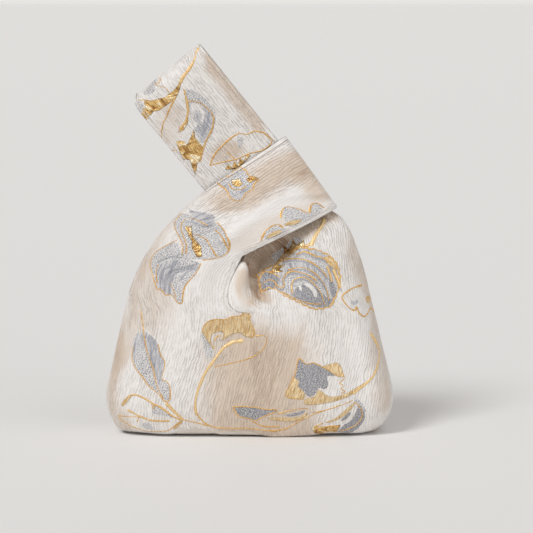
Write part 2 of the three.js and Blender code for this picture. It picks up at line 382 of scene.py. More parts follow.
def long_rows(first, gap, hollow, under_count, count, fold_count):
    neck_point, start = first[0], first[-1]
    top, low, high = slit(neck_point)
    top = top + np.array([gap / 2, WALL + SLIT_CLEARANCE, 0])
    beside = np.array([gap, SLIT_TUCK, 0])
    right = KNOT + LONG_HALF
    left = with_depth(KNOT - LONG_HALF, LONG_LAYER)
    stations = np.arange(1, under_count + 1) / under_count
    under = SHORT_END - SHORT_HALF - LOWER_WAY * LOOP_MARGIN
    turn = direction(SHOULDER_WAY) * SHOULDER_RUN
    outer = joint_edge(
        [start, shoulder(start, -1, RIGHT_SHOULDER), under - turn, under],
        [under, under + turn, right - ALONG_LONG * SHOULDER_RUN, right],
        stations,
    )
    before = np.array([top[0], mix(top[1], left[1], 1 / 3), mix(top[2], left[2], 1 / 2)])
    after = with_depth(left - ALONG_LONG * UNDER_STRAP_RUN / 3, LONG_LAYER * 2)
    inner = joint_edge([neck_point, low + beside, high + beside, top], [top, before, after, left], stations)
    profile = Profile(first, start, neck_point)
    rows = []
    for v, edge, neck in zip(stations, outer, inner):
        edge[1] = mix(0, LONG_LAYER, over(LONG_SPLIT, v))
        crown = LONG_CROWN * over(LONG_CROWN_RISE, v) * (1 - over(LONG_CROWN_FALL, v))
        deep = hollow * over(HOLLOW_RISE, v) * (1 - over(HOLLOW_FALL, v))
        lip = 1 - over(LIP_END, v)
        rows.append(profile.row(edge, neck, over(LONG_FLAT, v), crown, eased(edge, neck), deep, lip))
    leave = STRAP_WIDTH / 2 + LAYER_GAP
    for s in with_fold(count, fold_count, LONG_FOLD / LONG_STRAP_REACH) * LONG_STRAP_REACH:
        centre = KNOT + ALONG_LONG * s
        half = mix(GATHERED_WIDTH, STRAP_WIDTH, smooth(0, leave, s)) / 2
        y = mix(LONG_LAYER, LONG_LOOP_Y, smooth(leave, LONG_STRAP_REACH - LONG_FOLD, s))
        end_share = round_end(LONG_STRAP_REACH - s, LONG_FOLD)
        edge = with_depth(centre + ACROSS_LONG * half, y)
        neck = with_depth(centre - ACROSS_LONG * (half - CORNER_ROUND * (1 - end_share)), y)
        rows.append(profile.row(edge, neck, 1, 0, end_share))
    return rows


# A panel: the body with both straps, as points, flat cloth coordinates and four-sided faces
BODY, SHORT, LONG = 0, 1, 2

# How far up a strap its cloth has turned into the strap's own way, and where across its foot it is upright
STRAP_TURN = 80
UPRIGHT = (0.2, 0.7)


class Panel:
    def __init__(self, gap, hollow, across, along):
        """gap is the slit's width, hollow the depth under the short strap, and the others are grid steps"""
        def steps(span, step):
            return max(round(span / step), LEAST_ROWS)

        neck_angle = math.acos(-((abs(NECK_SHIFT) / (WIDTH_AT_NECK / 2)) ** (ROUND_NECK / 2)))
        left = steps(LEFT_SPAN, across)
        left_angles = even_angles(math.pi, neck_angle, left)
        right_angles = even_angles(neck_angle, 0, steps(RIGHT_SPAN, across))
        angles = np.concatenate([left_angles[:-1], right_angles])
        body = body_rows(angles, *(steps(span, along) for span in (BASE_SPAN, ROUND_SPAN, WALL_SPAN)))
        neck_row = body[-1]
        short = short_rows(neck_row[:left + 1], steps(SHORT_SPAN, along), SHORT_FOLD_ROWS)
        long_steps = steps(UNDER_SPAN, along), steps(LOOP_SPAN, along), LONG_FOLD_ROWS
        long = long_rows(neck_row[left:], gap, hollow, *long_steps)
        parts = self.points, self.uv, self.flap, self.faces = [], [], [], []
        u = lengths(body, 1)
        v = lengths(body)
        self.body = self.add(body, u - u[:, [left]], v, BODY)
        self.short = self.add_strap(short, slice(0, left + 1), 0, SHORT)
        self.long = self.add_strap(long, slice(left, None), -1, LONG)
        self.points, self.uv, self.flap, self.faces = (np.concatenate(part) for part in parts)
        self.flat = np.column_stack([self.uv, np.zeros(len(self.uv))])
        self.neck_v = v[-1, left]
        self.normals = outward(self.points, self.faces)
        self.normals[self.points[:, 2] == 0] = (0, 0, -1)

    def add(self, rows, u, v, flap, first=None):
        """Adds rows of points, above a first row that the panel holds already, and gives their numbers"""
        start = sum(len(part) for part in self.points)
        index = start + np.arange(u.size).reshape(u.shape)
        self.points.append(rows.reshape(-1, 3))
        self.uv.append(np.column_stack([u.ravel(), v.ravel()]))
        self.flap.append(np.full(u.size, flap))
        index = index if first is None else np.vstack([first, index])
        self.faces.append(quads(index))
        return index

    def add_strap(self, rows, columns, seam, flap):
        """Just above the neck row the cloth's length runs upright, and it turns into the strap's own way"""
        first = self.body[-1, columns]
        neck_row = self.points[0][self.body[-1]]
        neck_u, neck_v = self.uv[0][self.body[-1]].T
        first_u, first_v = neck_u[columns], neck_v[columns]
        rows = np.concatenate([neck_row[None, columns], rows])
        middle = rows.shape[1] // 2
        run = lengths(rows, 1)
        v = lengths(rows) + first_v
        upright = np.interp(rows[..., 0], neck_row[:, 0], neck_u)
        away = np.abs(first_u - first_u[seam]) / np.ptp(first_u)
        u = mix(run - run[:, [-1 - seam]], upright, over(UPRIGHT, away))
        turned = smooth(0, STRAP_TURN, v[:, [middle]] - first_v[middle])
        u = mix(u, run - run[:, [middle]] + first_u[middle], turned)
        return self.add(rows[1:], u[1:], v[1:], flap, first)

    def shows(self, flap):
        """Which points are on the body or one strap"""
        return (self.flap == BODY) | (self.flap == flap)


class Cloth:
    """Finds places on the body and one strap of a panel: by photo pixel, or by flat coordinates"""

    # A triangle's corners as unit vectors, which turn a place into weights
    UNIT_CORNERS = [Vector(row) for row in np.eye(3)]

    def __init__(self, panel, flap):
        kept = panel.faces[panel.shows(flap)[panel.faces].all(1)]
        self.corners = np.concatenate([kept[:, [0, 1, 2]], kept[:, [0, 2, 3]]])
        self.uv = panel.uv
        self.solid_points = panel.points
        self.flat_points = panel.flat
        corners = self.corners.tolist()
        self.solid = BVHTree.FromPolygons(self.solid_points.tolist(), corners, all_triangles=True)
        self.flat = BVHTree.FromPolygons(self.flat_points.tolist(), corners, all_triangles=True)

    def shares(self, place, triangle, points):
        """A triangle's three corners and their weights at a place in it"""
        corners = self.corners[triangle]
        a, b, c = (Vector(points[k]) for k in corners)
        return corners, np.array(geometry.barycentric_transform(place, a, b, c, *self.UNIT_CORNERS))

    def at_pixel(self, pixel):
        """Flat coordinates of what a photo pixel shows"""
        across = (pixel[0] - IMAGE / 2) * PIXEL
        up = (IMAGE / 2 - pixel[1]) * PIXEL
        seen = TARGET + np.array([across, 0, 0]) + up * VIEW_UP
        place, _, triangle, _ = self.solid.ray_cast(Vector(EYE), Vector(seen - EYE))
        if place is None:
            place, _, triangle, _ = self.solid.find_nearest(Vector(seen))
        corners, weights = self.shares(place, triangle, self.solid_points)
        return weights @ self.uv[corners]

    def at_flat(self, uv):
        """Corners and weights at flat coordinates, or None outside the cloth"""
        place, _, triangle, _ = self.flat.ray_cast(Vector((*uv, 1)), Vector((0, 0, -1)))
        return None if place is None else self.shares(place, triangle, self.flat_points)


# Distances in flat cloth coordinates, up to a reach, and how much of each side a rounded corner takes
FIELD_REACH = 6
CORNER_CUT = 0.25


def near(points, line, reach):
    low, high = line.min(0) - reach, line.max(0) + reach
    return np.flatnonzero(((points > low) & (points < high)).all(1))


def line_distance(points, line, reach):
    found = np.full(len(points), float(reach))
    close = near(points, line, reach)
    p = points[close]
    for a, b in zip(line[:-1], line[1:]):
        way = b - a
        t = np.clip(((p - a) @ way) / max(way @ way, TINY), 0, 1)
        found[close] = np.minimum(found[close], np.linalg.norm(p - a - t[:, None] * way, axis=1))
    return found


def outline_distance(points, outline):
    """Distance to a closed outline, negative inside"""
    loop = np.vstack([outline, outline[:1]])
    found = line_distance(points, loop, FIELD_REACH)
    close = near(points, loop, FIELD_REACH)
    p = points[close]
    inside = np.zeros(len(p), bool)
    for a, b in zip(loop[:-1], loop[1:]):
        spans = (a[1] > p[:, 1]) != (b[1] > p[:, 1])
        slope = (b[0] - a[0]) / (b[1] - a[1] if b[1] != a[1] else TINY)
        inside ^= spans & (p[:, 0] < a[0] + slope * (p[:, 1] - a[1]))
    found[close] = np.where(inside, -found[close], found[close])
    return found


def softened(points, is_loop, rounds=2):
    """The same line with its corners cut, so that it curves"""
    line = np.asarray(points, float)
    for _ in range(rounds):
        after = np.roll(line, -1, 0) if is_loop else line[1:]
        before = line if is_loop else line[:-1]
        cut = np.stack([mix(before, after, share) for share in (CORNER_CUT, 1 - CORNER_CUT)], 1)
        cut = cut.reshape(-1, 2)
        line = cut if is_loop else np.vstack([line[:1], cut, line[-1:]])
    return line


def resampled(line, step):
    whole = lengths(line)[-1]
    return points_at(line, np.linspace(0, whole, max(int(whole / step), 2) + 1))


# The flowers, in photo pixels: fields of grey satin, silver speckle and gold, bare patches left in them,
# and gold lines and dark streaks, each with its width in millimetres. Some dark streaks are strokes of the
# pattern; those under the rose's gold arcs and along the shoulder leaf's folds are painted shade. The back
# repeats them mirrored, but those of the long strap's loop run on round its end.
def closed(points):
    return [*points, points[0]]


def lowered(points, drop):
    return [(x, y + drop) for x, y in points]


def frilled(points, depth, pitch):
    """A closed outline with small scallops along it"""
    line = resampled(np.array(closed(points), float), pitch / 2)[:-1]
    way = np.roll(line, -1, 0) - np.roll(line, 1, 0)
    out = unit(np.column_stack([way[:, 1], -way[:, 0]]))
    line[1::2] += depth * out[1::2]
    return line.tolist()


ROSE_EDGE = [
    (256, 273), (261, 289), (273, 289), (287, 298), (300, 304), (312, 310), (322, 310), (332, 307),
    (339, 292), (342, 278), (337, 262), (329, 254), (318, 249), (300, 246), (288, 253), (278, 262),
    (265, 267),
]
ROSE_FRILL = frilled(ROSE_EDGE, depth=2.2, pitch=7)
ROSE_SHADE_WIDTH = 1.8
ROSE_SHADE_DROP = 2.2
ROSE_ARCS = [
    (1.3, [(283, 260), (292, 258), (302, 259), (310, 262), (320, 268), (327, 277)]),
    (1.3, [(296, 255), (302, 252), (307, 252), (314, 256), (323, 258), (331, 263)]),
    (1.1, [(288, 270), (300, 267), (308, 269), (316, 274), (323, 282), (328, 291), (329, 301)]),
    (1.3, [(276, 284), (280, 289), (285, 286), (283, 280), (285, 275), (291, 271), (299, 272), (309, 275),
           (317, 281)]),
    (1.4, [(293, 294), (291, 286), (294, 279), (302, 277), (309, 279), (317, 287), (322, 294),
           (325, 305)]),
    (1.8, [(327, 266), (330, 274), (332, 282)]),
    (2.4, [(333, 269), (337, 278), (341, 288)]),
]
ROSE = {
    "flap": LONG,
    "silver": [ROSE_FRILL, [(270, 254), (284, 243), (298, 236), (303, 244), (288, 253), (276, 261)]],
    "grey": [
        [(318, 254), (334, 262), (339, 276), (332, 274), (324, 264)],
        [(284, 264), (300, 262), (312, 266), (322, 275), (328, 288), (323, 283), (315, 274), (304, 268),
         (290, 269)],
        [(290, 254), (303, 248), (316, 250), (328, 257), (319, 256), (308, 252), (297, 255)],
    ],
    "slate": [
        [(296, 288), (306, 282), (318, 289), (330, 300), (336, 296), (334, 306), (318, 308), (303, 303),
         (292, 297)],
        [(258, 278), (263, 271), (272, 273), (280, 276), (278, 289), (262, 290)],
        [(328, 275), (334, 282), (338, 294), (334, 300), (330, 290)],
    ],
    "gold": [[(323, 256), (330, 257), (338, 265), (339, 272), (333, 268), (327, 264)]],
    "foil": [
        [(282, 254), (281, 243), (285, 247), (290, 245), (293, 239), (296, 245), (304, 240), (305, 247),
         (290, 252)],
        [(268, 275), (274, 265), (279, 258), (281, 261), (277, 266), (286, 264), (279, 270), (285, 272),
         (274, 273)],
    ],
    "bare": [
        [(299, 284), (302, 287), (302, 292), (299, 289)],
        [(303, 284), (309, 283), (314, 287), (318, 292), (317, 298), (314, 297), (313, 292), (308, 287)],
    ],
    "lines": [
        (1.4, closed(ROSE_FRILL)),
        *ROSE_ARCS,
        (1.4, [(262, 290), (258, 279), (264, 270), (272, 273), (280, 277)]),
        (1.2, [(262, 283), (270, 279), (277, 283), (274, 289)]),
        (1.1, [(282, 292), (292, 297), (300, 301), (312, 304), (322, 304)]),
        (2.8, [(324, 218), (317, 232), (311, 246)]),
        (1.5, [(270, 273), (275, 266), (280, 258), (283, 252), (291, 250), (299, 246), (308, 246),
               (311, 243)]),
    ],
    "streaks": [
        *[(ROSE_SHADE_WIDTH, lowered(line, ROSE_SHADE_DROP)) for _, line in ROSE_ARCS],
        (1.2, [(298, 291), (304, 296), (312, 300)]),
        (1.0, [(264, 286), (271, 283), (277, 286)]),
        (1.0, [(322, 258), (331, 268), (335, 278)]),
    ],
}
LONG_BAND = {
    "flap": LONG,
    "loop": True,
    "silver": [
        [(132, 105), (139, 100), (145, 105), (141, 114), (135, 115)],
        [(141, 96), (150, 82), (158, 77), (157, 88), (152, 95)],
    ],
    "foil": [
        [(141, 120), (141, 114), (146, 107), (144, 102), (155, 100), (165, 97), (174, 90), (182, 78),
         (180, 88), (176, 98), (167, 105), (160, 110), (150, 115), (145, 121)],
    ],
    "lines": [
        (1.8, [(207, 52), (200, 46), (196, 50), (195, 58), (190, 67), (183, 77), (180, 83)]),
        (0.9, [(138, 100), (143, 100), (150, 101)]),
        (1.0, [(176, 96), (168, 112), (163, 125), (160, 140)]),
        (0.9, [(157, 76), (161, 79), (159, 84), (155, 83), (157, 86), (166, 87), (169, 93)]),
    ],
}
CRESCENT_EDGE = [
    (184, 88), (195, 91), (206, 99), (214, 109), (216, 118), (214, 128), (209, 138), (202, 145),
    (196, 133), (190, 118), (187, 100),
]
LONG_CRESCENT = {
    "flap": LONG,
    "loop": True,
    "silver": [CRESCENT_EDGE],
    "grey": [
        [(204, 104), (212, 114), (211, 128), (203, 142), (196, 133), (197, 126), (204, 123), (206, 115)],
        [(196, 111), (200, 112), (201, 120), (198, 123), (196, 118)],
    ],
    "bare": [
        [(189, 102), (200, 104), (205, 113), (203, 122), (201, 124), (202, 114), (198, 109), (194, 111),
         (194, 119)],
        [(190, 112), (194, 118), (198, 125), (195, 128), (192, 122)],
    ],
    "foil": [
        [(176, 142), (184, 141), (187, 145), (191, 137), (194, 129), (195, 138), (203, 147), (201, 158),
         (196, 176), (192, 167), (190, 160), (184, 160), (179, 150)],
        [(178, 133), (180, 127), (185, 122), (188, 114), (188, 122), (184, 130)],
    ],
    "lines": [
        (1.6, [(184, 89), (186, 98), (188, 108), (188, 115), (185, 123), (180, 129)]),
        (1.1, [(187, 101), (197, 101), (207, 107), (214, 116), (213, 127), (206, 140), (200, 162)]),
        (0.9, [(177, 150), (171, 152)]),
    ],
    "streaks": [(1.2, [(209, 112), (208, 124), (202, 136)]), (0.8, [(205, 120), (203, 130)])],
}
LONG_LEAF = {
    "flap": LONG,
    "silver": [[(236, 136), (242, 136), (244, 142), (239, 150)]],
    "foil": [
        [(224, 170), (229, 164), (232, 168), (234, 161), (238, 165), (240, 158), (244, 161), (247, 154),
         (251, 155), (244, 163), (234, 169)],
    ],
    "lines": [
        (1.1, [(210, 166), (214, 155), (222, 146), (232, 137), (240, 132), (245, 135), (254, 130),
               (264, 133)]),
        (1.2, [(264, 133), (270, 138), (273, 141)]),
        (1.1, [(210, 166), (227, 161), (240, 158), (252, 152), (264, 149), (272, 141)]),
        (0.9, [(227, 152), (237, 161)]),
    ],
}
STRAP_FLOWER_EDGE = [
    (217, 183), (230, 174), (240, 168), (246, 171), (249, 178), (259, 179), (253, 183), (253, 188),
    (245, 192), (242, 199), (235, 200), (230, 196), (227, 189),
]
STRAP_FLOWER = {
    "flap": SHORT,
    "silver": [STRAP_FLOWER_EDGE],
    "grey": [
        [(219, 184), (228, 181), (229, 188), (227, 190)],
        [(242, 188), (253, 184), (246, 191), (241, 194)],
    ],
    "foil": [
        [(246, 179), (252, 176), (259, 178), (250, 183)],
        [(231, 180), (240, 179), (243, 184), (238, 187), (233, 185)],
        [(217, 175), (224, 177), (221, 181)],
    ],
    "lines": [
        (0.9, closed(frilled(STRAP_FLOWER_EDGE, depth=1.2, pitch=6))),
        (0.8, [(229, 183), (232, 189), (240, 190), (246, 186)]),
    ],
    "streaks": [(1.0, [(222, 187), (230, 190), (236, 197)]), (0.8, [(240, 174), (246, 184), (240, 194)])],
}
EDGE_PETALS = {
    "flap": SHORT,
    "silver": [
        [(263, 241), (265, 230), (278, 223), (283, 228), (292, 230), (278, 238)],
        [(281, 216), (285, 206), (298, 208), (310, 215), (310, 204), (317, 202), (324, 208), (317, 217),
         (292, 230)],
    ],
    "gold": [
        [(265, 239), (270, 233), (278, 230), (284, 231), (274, 237)],
        [(282, 226), (289, 221), (304, 219), (296, 225)],
    ],
    "lines": [
        (1.0, [(261, 241), (265, 230), (278, 223), (283, 228)]),
        (1.0, [(281, 218), (281, 212), (285, 206), (298, 208), (310, 215), (310, 205), (317, 202),
               (324, 208)]),
    ],
}
SHOULDER_EDGE = [
    (176, 217), (175, 228), (180, 237), (184, 246), (182, 256), (190, 259), (202, 260), (214, 259),
    (225, 256), (230, 248), (229, 240), (224, 231), (217, 222), (205, 219), (190, 215), (183, 213),
]
FLAME_EDGE = [
    (178, 240), (163, 248), (155, 253), (150, 263), (152, 272), (155, 283), (157, 290), (162, 289),
    (165, 296), (170, 294), (174, 297), (178, 304), (183, 303), (183, 293), (186, 284), (197, 273),
    (201, 263), (190, 260), (182, 254),
]
SHOULDER_LEAF = {
    "flap": SHORT,
    "silver": [SHOULDER_EDGE, FLAME_EDGE],
    "grey": [
        [(188, 207), (203, 212), (214, 214), (215, 220), (210, 227), (200, 225), (190, 222), (194, 217),
         (190, 212)],
        [(158, 268), (168, 260), (182, 260), (176, 270), (171, 281), (175, 297), (165, 293), (157, 288),
         (155, 277)],
    ],
    "foil": [
        [(185, 227), (192, 227), (193, 237), (201, 247), (202, 257), (197, 257), (192, 248), (192, 241),
         (188, 233)],
    ],
    "lines": [
        (0.9, FLAME_EDGE[:17]),
        (0.8, [(170, 283), (173, 289), (176, 297)]),
        (0.8, [(183, 214), (177, 219), (175, 228), (180, 237), (184, 246), (182, 255)]),
        (0.8, [(187, 219), (181, 224), (183, 234), (187, 244), (186, 254)]),
        (0.8, [(193, 234), (205, 238), (210, 245), (217, 257)]),
        (0.8, [(215, 230), (223, 237), (229, 250)]),
        (0.8, [(217, 222), (225, 232), (230, 243), (229, 252), (224, 256), (213, 259), (202, 260)]),
        (0.8, [(157, 283), (156, 272), (159, 264)]),
        (0.8, [(190, 218), (200, 221), (208, 226)]),
    ],
    # Painted shade along the leaf's folds, over grooves of their own
    "streaks": [
        (1.6, [(157, 262), (165, 259), (172, 256), (180, 258)]),
        (1.5, [(160, 284), (160, 274), (163, 269), (171, 266)]),
        (1.8, [(165, 291), (165, 279), (170, 271), (187, 267), (197, 264)]),
        (1.7, [(169, 294), (171, 280), (174, 273), (184, 270), (194, 267)]),
        (1.3, [(181, 280), (184, 274), (190, 270), (197, 269)]),
        (1.8, [(199, 225), (206, 227), (212, 226)]),
        (1.8, [(201, 220), (208, 219), (214, 217)]),
        (1.4, [(186, 222), (192, 222), (197, 224)]),
        (1.2, [(189, 209), (198, 213), (206, 214)]),
    ],
}
SIDE_PETALS = {
    "flap": LONG,
    "grey": [
        [(365, 290), (369, 288), (370, 294), (366, 295)],
        [(350, 300), (354, 302), (358, 299), (358, 304), (352, 305)],
    ],
    "gold": [[(365, 296), (370, 295), (371, 302), (366, 303)]],
    "lines": [
        (1.3, [(362, 285), (354, 287), (348, 291), (341, 296), (345, 303), (350, 309), (355, 311),
               (357, 306)]),
        (1.3, [(357, 307), (358, 312), (363, 317), (367, 315), (370, 307), (374, 311)]),
    ],
}
LEAF_EDGE = [
    (143, 329), (140, 332), (135, 334), (133, 346), (131, 357), (135, 368), (143, 377), (148, 386),
    (158, 393), (166, 403), (171, 399), (170, 386), (167, 381), (161, 380), (164, 370), (165, 361),
    (160, 355), (158, 344), (153, 337), (147, 333),
]
LEFT_LEAF = {
    "flap": SHORT,
    "silver": [LEAF_EDGE],
    "grey": [
        [(143, 329), (147, 333), (153, 337), (158, 344), (160, 355), (165, 361), (164, 370), (160, 385),
         (156, 384), (151, 364), (146, 349), (140, 340)],
        [(135, 335), (141, 334), (138, 345), (133, 360), (131, 356)],
    ],
    "lines": [
        (0.9, LEAF_EDGE[3:18]),
        (0.9, [(140, 310), (142, 320), (143, 329), (147, 353), (153, 368), (156, 384), (163, 398)]),
        (2.2, [(166, 403), (175, 412), (184, 422)]),
        (1.4, [(184, 422), (197, 426), (209, 429)]),
    ],
    "streaks": [
        (1.2, [(148, 337), (151, 347), (151, 357), (155, 369), (158, 380)]),
        (0.9, [(153, 341), (156, 352), (158, 364)]),
        (0.9, [(136, 338), (134, 350), (134, 362)]),
    ],
}
CORNER_LEAF = {
    "flap": SHORT,
    "silver": [
        [(153, 405), (165, 409), (176, 421), (167, 416), (152, 414)],
        [(140, 425), (150, 424), (155, 432), (146, 432)],
    ],
    "gold": [
        [(120, 406), (125, 398), (133, 393), (130, 399), (124, 406)],
        [(150, 402), (156, 405), (154, 411)],
        [(172, 433), (179, 422), (184, 423), (177, 432)],
    ],
    "lines": [
        (1.5, [(122, 404), (127, 397), (134, 394), (142, 397), (152, 403), (163, 408), (177, 420),
               (184, 422)]),
        (2.1, [(127, 410), (134, 414), (148, 421)]),
        (1.6, [(148, 421), (159, 422), (170, 422)]),
        (1.0, [(118, 416), (136, 417), (145, 419)]),
        (1.2, [(139, 418), (137, 424)]),
        (1.0, [(118, 417), (128, 427), (138, 432), (146, 434), (157, 434), (169, 433), (176, 427),
               (182, 423)]),
    ],
}
BUD_CROWN = [
    (202, 333), (203, 326), (208, 321), (216, 319), (225, 320), (232, 316), (241, 316), (247, 309),
    (251, 315), (249, 320), (254, 328), (255, 335), (250, 338), (245, 337), (240, 332), (232, 334),
    (225, 339), (216, 343), (214, 351), (208, 342),
]
BUD = {
    "flap": SHORT,
    "silver": [[(206, 322), (201, 333), (203, 342), (205, 354), (207, 361), (215, 354), (208, 342)]],
    "gold": [BUD_CROWN],
    "bare": [[(212, 333), (224, 331), (222, 340), (213, 348), (210, 340)]],
    "lines": [
        (1.6, [(214, 341), (217, 336), (221, 336)]),
        (0.9, BUD_CROWN[:13]),
        (1.0, [(255, 336), (266, 335), (267, 342), (263, 350), (256, 355), (249, 359), (239, 361),
               (214, 367)]),
        (3.0, [(243, 341), (234, 341), (226, 346)]),
        (2.2, [(229, 343), (222, 349), (213, 362), (206, 371), (200, 384), (196, 397), (195, 407),
               (197, 416)]),
        (1.4, [(197, 414), (202, 423), (209, 429), (217, 431), (229, 432), (250, 432), (271, 431),
               (287, 429)]),
    ],
}
LOW_GREY_EDGE = [
    (233, 407), (246, 407), (259, 408), (267, 410), (277, 409), (276, 412), (269, 414), (261, 418),
    (255, 423), (250, 420), (242, 419), (237, 416),
]
LOW_LEAVES = {
    "flap": LONG,
    "slate": [LOW_GREY_EDGE, [(281, 415), (295, 413), (307, 409), (303, 414), (291, 417)]],
    "gold": [[(263, 418), (278, 417), (298, 418), (309, 411), (306, 417), (296, 422), (278, 421)]],
    "lines": [
        (0.9, closed(LOW_GREY_EDGE)),
        (0.9, [(278, 414), (290, 410), (303, 408), (309, 409)]),
        (1.2, [(251, 423), (261, 427), (271, 427), (280, 426)]),
        (0.9, [(270, 432), (287, 429), (303, 419), (320, 412), (339, 406), (353, 400)]),
        (0.9, [(311, 413), (328, 410), (340, 405)]),
    ],
}
BLOSSOM_EDGE = [
    (294, 377), (296, 370), (298, 357), (302, 361), (307, 365), (313, 362), (321, 366), (330, 371),
]
BLOSSOM = {
    "flap": LONG,
    "slate": [
        [*BLOSSOM_EDGE, (336, 377), (326, 375), (329, 385), (325, 390), (319, 387), (317, 392),
         (312, 397), (306, 396), (304, 391), (297, 387), (300, 382)],
    ],
    "gold": [
        [(293, 376), (299, 382), (297, 387), (304, 392), (305, 398), (296, 399), (287, 398), (285, 394),
         (289, 386)],
        [(322, 366), (330, 364), (337, 362), (341, 366), (343, 373), (345, 377), (337, 377), (329, 371)],
        [(303, 401), (307, 398), (316, 397), (317, 390), (322, 391), (327, 396), (334, 397), (345, 394),
         (357, 387), (366, 382), (360, 389), (350, 396), (333, 402), (316, 405), (305, 405)],
    ],
    "lines": [
        (1.0, BLOSSOM_EDGE),
        (1.0, [(293, 376), (290, 386), (285, 393), (287, 398), (304, 399)]),
        (1.0, [(343, 373), (345, 379), (338, 383), (344, 385), (340, 389), (346, 391), (341, 394)]),
        (2.3, [(353, 394), (363, 386), (371, 379), (376, 371), (379, 359), (380, 349), (379, 330)]),
    ],
    "streaks": [(0.8, [(298, 364), (305, 375), (308, 392)]), (0.8, [(313, 366), (312, 380)])],
}
LOW_CRESCENT = {
    "flap": LONG,
    "silver": [[(357, 398), (364, 405), (367, 413), (363, 412), (359, 404), (354, 402)]],
    "slate": [
        [(359, 403), (366, 413), (364, 423), (357, 431), (346, 436), (336, 436), (342, 428), (352, 421),
         (356, 412)],
        [(352, 410), (349, 418), (340, 424), (342, 419)],
    ],
    "gold": [
        [(357, 399), (352, 409), (343, 418), (330, 425), (323, 425), (336, 419), (346, 409)],
    ],
    "foil": [[(311, 428), (328, 429), (341, 427), (336, 436), (322, 438), (315, 435)]],
    "lines": [
        (0.9, [(355, 402), (361, 408), (363, 416), (358, 425), (349, 431), (340, 434)]),
        (0.9, [(323, 425), (312, 429), (322, 430), (336, 428)]),
    ],
}
FLOWERS = [
    ROSE, LONG_BAND, LONG_CRESCENT, LONG_LEAF, STRAP_FLOWER, EDGE_PETALS, SHOULDER_LEAF, SIDE_PETALS,
    LEFT_LEAF, CORNER_LEAF, BUD, LOW_LEAVES, BLOSSOM, LOW_CRESCENT,
]
GREYS = ("silver", "grey", "slate")
FIELDS = (*GREYS, "gold", "foil")

# Small pleats between the tongue of the slit and the rose, in photo pixels, and their sizes on the cloth.
# The darker beige between them is painted shade.
PLEAT_STEP = 4
PLEAT_WIDTH = 1.0
PLEAT_HEIGHT = 0.7
PLEAT_SHADE_TONE = 0.7
PLEATS = [[(251, y), (260, y + 7)] for y in range(268, 304, PLEAT_STEP)]
PLEAT_SHADES = [lowered(pleat, PLEAT_STEP / 2) for pleat in PLEATS]

# Grooves along the dark streaks of the shoulder leaf
GROOVES = [line for _, line in SHOULDER_LEAF["streaks"]]
PETAL_GROOVE_WIDTH = 1.8
PETAL_GROOVE_DEPTH = 0.7

# Soft forms that the cloth takes, in photo pixels: flap, line, and width and height in millimetres
FORMS = [
    (LONG, [(243, 266), (240, 280), (240, 296), (245, 304)], 7, 2.8),
    (LONG, [(251, 263), (255, 280), (260, 294)], 4.5, -5.0),
    (LONG, [(257, 286), (266, 297)], 5, -2.4),
    (LONG, [(250, 257), (266, 251), (280, 246)], 8, -6.5),
    *[(LONG, pleat, PLEAT_WIDTH, PLEAT_HEIGHT) for pleat in PLEATS],
    (LONG, [(290, 318), (300, 350), (304, 390)], 16, 1.4),
    (SHORT, [(220, 241), (236, 229), (250, 219), (263, 207), (276, 199), (290, 195),
             (326, 193)], 5.5, 2.0),
    (SHORT, [(235, 212), (268, 192), (305, 170)], 12, -1.4),
    *[(SHORT, groove, PETAL_GROOVE_WIDTH, -PETAL_GROOVE_DEPTH) for groove in GROOVES],
    (SHORT, [(196, 300), (204, 350), (196, 400)], 14, 1.6),
    (SHORT, [(236, 330), (246, 370), (244, 410)], 14, -1.6),
]

# Beige zones of the cloth, in photo pixels: flap, line, width in millimetres and strength. They are painted
# shade and painted loss of sheen where the satin turns from the light, with some beige of the cloth itself;
# past strength 1 they turn to painted umber shadow. The rest is nearly white.
SHADE_TONES = [
    (SHORT, [(158, 268), (146, 300), (138, 325), (118, 352)], 19, 0.65),
    (SHORT, [(142, 268), (154, 246), (176, 222)], 8, 0.45),
    (SHORT, [(118, 352), (111, 374), (111, 400), (122, 428)], 12, 0.6),
    (SHORT, [(236, 350), (240, 390), (238, 425)], 28, 1.0),
    (LONG, [(278, 358), (285, 390), (290, 425)], 24, 0.9),
    (LONG, [(354, 240), (368, 290), (378, 340), (386, 400)], 12, 0.6),
    (LONG, [(312, 330), (312, 350)], 14, 0.25),
    # Painted shade on the short strap, above and below its lit ridge and at its end
    (SHORT, [(230, 202), (270, 174), (318, 152)], 15, 1.05),
    (SHORT, [(308, 174), (328, 190)], 9, 0.8),
    (SHORT, [(238, 246), (264, 230), (290, 213), (318, 204)], 10, 0.35),
    (LONG, [(212, 62), (236, 95), (258, 122)], 8, 0.9),
    (LONG, [(170, 110), (165, 135)], 9, 0.5),
    (LONG, [(218, 159), (232, 148)], 8, 0.75),
    # Painted shade on the slit's tongue, and painted shadow beside it, under the short strap's lower edge,
    # between the pleats and in the hollow
    (LONG, [(243, 276), (241, 290), (247, 303)], 6, 0.8),
    (LONG, [(252, 264), (256, 278), (260, 292)], 5, 1.0),
    (LONG, [(257, 288), (266, 297)], 6, 0.6),
    (LONG, [(284, 240), (304, 230), (320, 221)], 7, 1.1),
    (LONG, [(322, 216), (332, 211)], 5, 1.0),
    *[(LONG, shade, PLEAT_WIDTH, PLEAT_SHADE_TONE) for shade in PLEAT_SHADES],
    (LONG, [(250, 258), (266, 252), (280, 245)], 8, 1.6),
]

# Zones where the cloth is smooth, in photo pixels: flap, line, width in millimetres and strength
SMOOTH = [
    (LONG, [(244, 262), (238, 280), (238, 298), (246, 306)], 7, 1),
    (SHORT, [(226, 250), (262, 232), (296, 212), (328, 196)], 9, 0.8),
    (SHORT, [(230, 232), (262, 210), (300, 192), (326, 188)], 6, 0.6),
    (SHORT, [(206, 262), (216, 286), (220, 310)], 14, 0.5),
]

